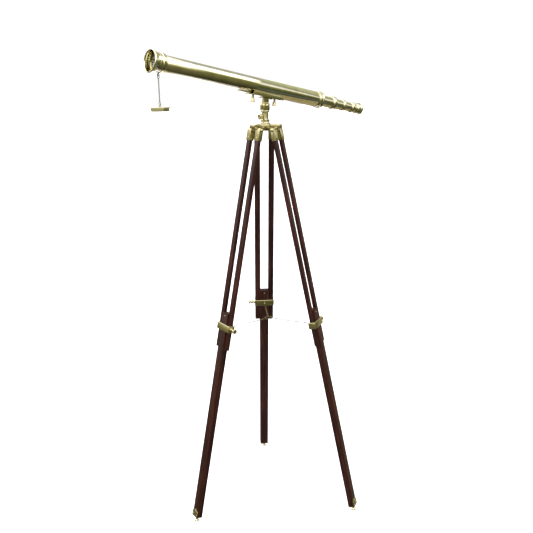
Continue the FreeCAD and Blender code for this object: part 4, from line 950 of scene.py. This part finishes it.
def make_stage(look):
    hub = post_place().translation
    only(None)
    bpy.ops.mesh.primitive_circle_add(vertices=96, radius=60, fill_type="NGON", location=(hub.x, hub.y, 0))
    floor = bpy.context.object
    floor.name = floor.data.name = "studio_floor"
    bpy.ops.object.transform_apply(location=True, rotation=True, scale=True)
    edit(floor, "FACE", "SELECT")
    bpy.ops.mesh.inset(thickness=50.0)
    leave()
    floor.data.materials.append(painted_floor("Matt studio floor", "#F4F3F1"))
    floor.visible_glossy = False
    only(None)
    bpy.ops.mesh.primitive_cylinder_add(vertices=96, radius=55, depth=110, end_fill_type="TRIFAN",
                                        location=(hub.x, hub.y, 54))
    wall = bpy.context.object
    wall.name = wall.data.name = "studio_wall"
    pick_faces(wall, lambda centre, normal: centre.z < -50)
    bpy.ops.mesh.delete(type="FACE")
    leave()
    bpy.ops.object.transform_apply(location=True, rotation=True, scale=True)
    wall.data.materials.append(lit_wall("Evenly lit studio wall"))
    for way in ("diffuse", "glossy", "transmission", "shadow", "volume_scatter"):
        setattr(wall, "visible_" + way, False)

    turn = look.azimuth
    toward = Vector((math.cos(turn), math.sin(turn), 0))
    right = Vector((-math.sin(turn), math.cos(turn), 0))
    eye = Vector((hub.x, hub.y, look.height)) + toward * look.distance
    bpy.ops.object.camera_add(location=eye)
    camera = bpy.context.object
    face = Matrix.Rotation(turn + math.radians(90.1), 3, "Z") @ Matrix.Rotation(math.pi / 2 - look.tilt, 3, "X")
    camera.rotation_euler = (face @ Matrix.Rotation(math.radians(-1.0), 3, "Z")).to_euler()
    camera.data.lens = look.lens
    camera.data.sensor_width = 36
    camera.data.dof.use_dof = False
    bpy.context.scene.camera = camera

    middle_up = Vector((hub.x, hub.y, 1.2))
    area_light("Overhead softbox", middle_up - toward * 1.0 + Vector((0, 0, 2.4)), middle_up, (2.4, 1.6), look.key_power)

    world = bpy.data.worlds.new("Studio")
    bpy.context.scene.world = world
    world.use_nodes = True
    tree = world.node_tree
    out = tree.nodes["Background"]
    way = add(tree, "TexCoord").outputs["Generated"]
    split = add(tree, "SeparateXYZ", Vector=way)
    # the angle round the telescope: 0 behind and below, 0.5 towards the camera's side, 1 behind and above
    front = add(tree, "Math", {"operation": "MULTIPLY"}, i0=split.outputs["Y"], i1=-1.0)
    round_tube = add(tree, "Math", {"operation": "ARCTAN2"}, i0=split.outputs["Z"], i1=front.outputs["Value"])
    round_tube = add(tree, "MapRange", Value=round_tube.outputs["Value"], From_Min=-math.pi, From_Max=math.pi,
                     To_Min=0.0, To_Max=1.0).outputs["Result"]
    near_side = ramp(tree, round_tube, [
        (0.0, "#DCDCF4"), (0.22, "#DCDCF4"), (0.28, "#201E14"), (0.36, "#2E2E20"), (0.50, "#505038"),
        (0.55, "#585C40"), (0.60, "#FFFFFF"), (0.68, "#FFFFFF"), (0.72, "#9898C0"), (0.76, "#7A7C80"),
        (1.0, "#888880")])
    far_side = ramp(tree, round_tube, [
        (0.0, "#706450"), (0.29, "#686450"), (0.32, "#161810"), (0.35, "#404848"), (0.43, "#303024"),
        (0.52, "#585C3C"), (0.56, "#B8B8C0"), (0.61, "#A8A8B8"), (0.67, "#5C605C"), (0.74, "#787C6C"),
        (1.0, "#88886C")])
    along = add(tree, "VectorMath", {"operation": "DOT_PRODUCT"}, i0=way, i1=joint("draw_1_slide")["axis"])
    side = add(tree, "MapRange", Value=along.outputs["Value"], From_Min=0.657, From_Max=0.672, To_Min=0.0, To_Max=1.0)
    mixed = add(tree, "Mix", {"data_type": "RGBA"}, i0=side.outputs["Result"], i6=near_side, i7=far_side)
    # the rest of the room, which only the castings and the legs reflect, is dim below and bright above
    height = add(tree, "MapRange", Value=split.outputs["Z"], From_Min=-1.0, From_Max=1.0, To_Min=0.0, To_Max=1.0)
    room = ramp(tree, height.outputs["Result"], [
        (0.0, "#302E22"), (0.42, "#504E3A"), (0.55, "#8C8A78"), (0.68, "#F4F4FF"), (1.0, "#F4F4FF")])
    part = add(tree, "MapRange", Value=along.outputs["Value"], From_Min=0.1, From_Max=0.3, To_Min=0.0, To_Max=1.0)
    mixed = add(tree, "Mix", {"data_type": "RGBA"}, i0=part.outputs["Result"], i6=room, i7=mixed.outputs[2])
    tree.links.new(mixed.outputs[2], out.inputs["Color"])
    out.inputs["Strength"].default_value = look.room_light
    bpy.context.scene.view_settings.view_transform = "Standard"


# ---- the add-on's operators and panel ------------------------------------------------------------
class Maker:
    bl_options = {"REGISTER", "UNDO"}

    def execute(self, context):
        self.make(context.scene.telescope_look)
        return {"FINISHED"}


class TELESCOPE_OT_finishes(Maker, bpy.types.Operator):
    """Make the materials and give every CAD part the one for its metal, wood or glass"""
    bl_idname = "telescope.finishes"
    bl_label = "Finishes"

    def make(self, look):
        make_finishes(look)
        for name, node in frame["nodes"].items():
            key = next(key for start, key in NODE_FINISH if name.startswith(start))
            if not node.data.materials:
                node.data.materials.append(None)
            for i in range(len(node.data.materials)):
                node.data.materials[i] = FINISHES[key]


class TELESCOPE_OT_legs(Maker, bpy.types.Operator):
    """Slats, sliding lower bars and stop pins of the three legs"""
    bl_idname = "telescope.legs"
    bl_label = "Wooden legs"

    def make(self, look):
        for leg in LEGS:
            make_leg_wood(leg)


class TELESCOPE_OT_leg_fittings(Maker, bpy.types.Operator):
    """Ferrules, clamps, clamp screws, shoes and levelling feet"""
    bl_idname = "telescope.leg_fittings"
    bl_label = "Leg fittings"

    def make(self, look):
        for leg in LEGS:
            make_ferrules(leg, look.edge)
            make_clamp(leg, look.edge)
            make_foot(leg, look.edge)


class TELESCOPE_OT_spreader(Maker, bpy.types.Operator):
    """Stay chains and their ring between the legs"""
    bl_idname = "telescope.spreader"
    bl_label = "Stay chains"

    def make(self, look):
        make_spreader()


class TELESCOPE_OT_head(Maker, bpy.types.Operator):
    """Hub casting, bearing, azimuth thumbscrew and tilting yoke"""
    bl_idname = "telescope.head"
    bl_label = "Tripod head"

    def make(self, look):
        make_head(look.edge)


class TELESCOPE_OT_cradle(Maker, bpy.types.Operator):
    """Cradle, its hanger and two thumbscrews"""
    bl_idname = "telescope.cradle"
    bl_label = "Cradle"

    def make(self, look):
        make_cradle(look.edge)


class TELESCOPE_OT_barrel(Maker, bpy.types.Operator):
    """Hood, objective mount, lenses, main tube, rail and end ring"""
    bl_idname = "telescope.barrel"
    bl_label = "Main barrel"

    def make(self, look):
        make_objective_end()
        make_main_tube()


class TELESCOPE_OT_draws(Maker, bpy.types.Operator):
    """Three draw tubes with their beads, and the eyepiece"""
    bl_idname = "telescope.draws"
    bl_label = "Draws and eyepiece"

    def make(self, look):
        for i in range(len(DRAWS)):
            make_draw(i)
        make_eyepiece()


class TELESCOPE_OT_dust_cap(Maker, bpy.types.Operator):
    """Dust cap on its safety chain"""
    bl_idname = "telescope.dust_cap"
    bl_label = "Dust cap"

    def make(self, look):
        make_dust_cap()


class TELESCOPE_OT_stage(bpy.types.Operator):
    """Pale floor, studio light and camera"""
    bl_idname = "telescope.stage"
    bl_label = "Stage"

    def execute(self, context):
        make_stage(context.scene.telescope_stage)
        return {"FINISHED"}


MAKERS = (TELESCOPE_OT_finishes, TELESCOPE_OT_legs, TELESCOPE_OT_leg_fittings, TELESCOPE_OT_spreader,
          TELESCOPE_OT_head, TELESCOPE_OT_cradle, TELESCOPE_OT_barrel, TELESCOPE_OT_draws, TELESCOPE_OT_dust_cap,
          TELESCOPE_OT_stage)


class TELESCOPE_PT_panel(bpy.types.Panel):
    """Lists the telescope's pieces and looks"""
    bl_idname = "TELESCOPE_PT_panel"
    bl_label = "Telescope on tripod"
    bl_space_type = "VIEW_3D"
    bl_region_type = "UI"
    bl_category = "Telescope"

    def draw(self, context):
        for group in (context.scene.telescope_look, context.scene.telescope_stage):
            for key in group.__annotations__:
                self.layout.prop(group, key)
        for maker in MAKERS:
            self.layout.operator(maker.bl_idname)


CLASSES = (TripodLook, StageLook) + MAKERS + (TELESCOPE_PT_panel,)


def register():
    for item in CLASSES:
        bpy.utils.register_class(item)
    bpy.types.Scene.telescope_look = bpy.props.PointerProperty(type=TripodLook)
    bpy.types.Scene.telescope_stage = bpy.props.PointerProperty(type=StageLook)


def unregister():
    del bpy.types.Scene.telescope_stage
    del bpy.types.Scene.telescope_look
    for item in reversed(CLASSES):
        bpy.utils.unregister_class(item)


def main():
    register()
    for maker in MAKERS:
        group, name = maker.bl_idname.split(".")
        getattr(getattr(bpy.ops, group), name)()


if __name__ == "__main__":
    main()
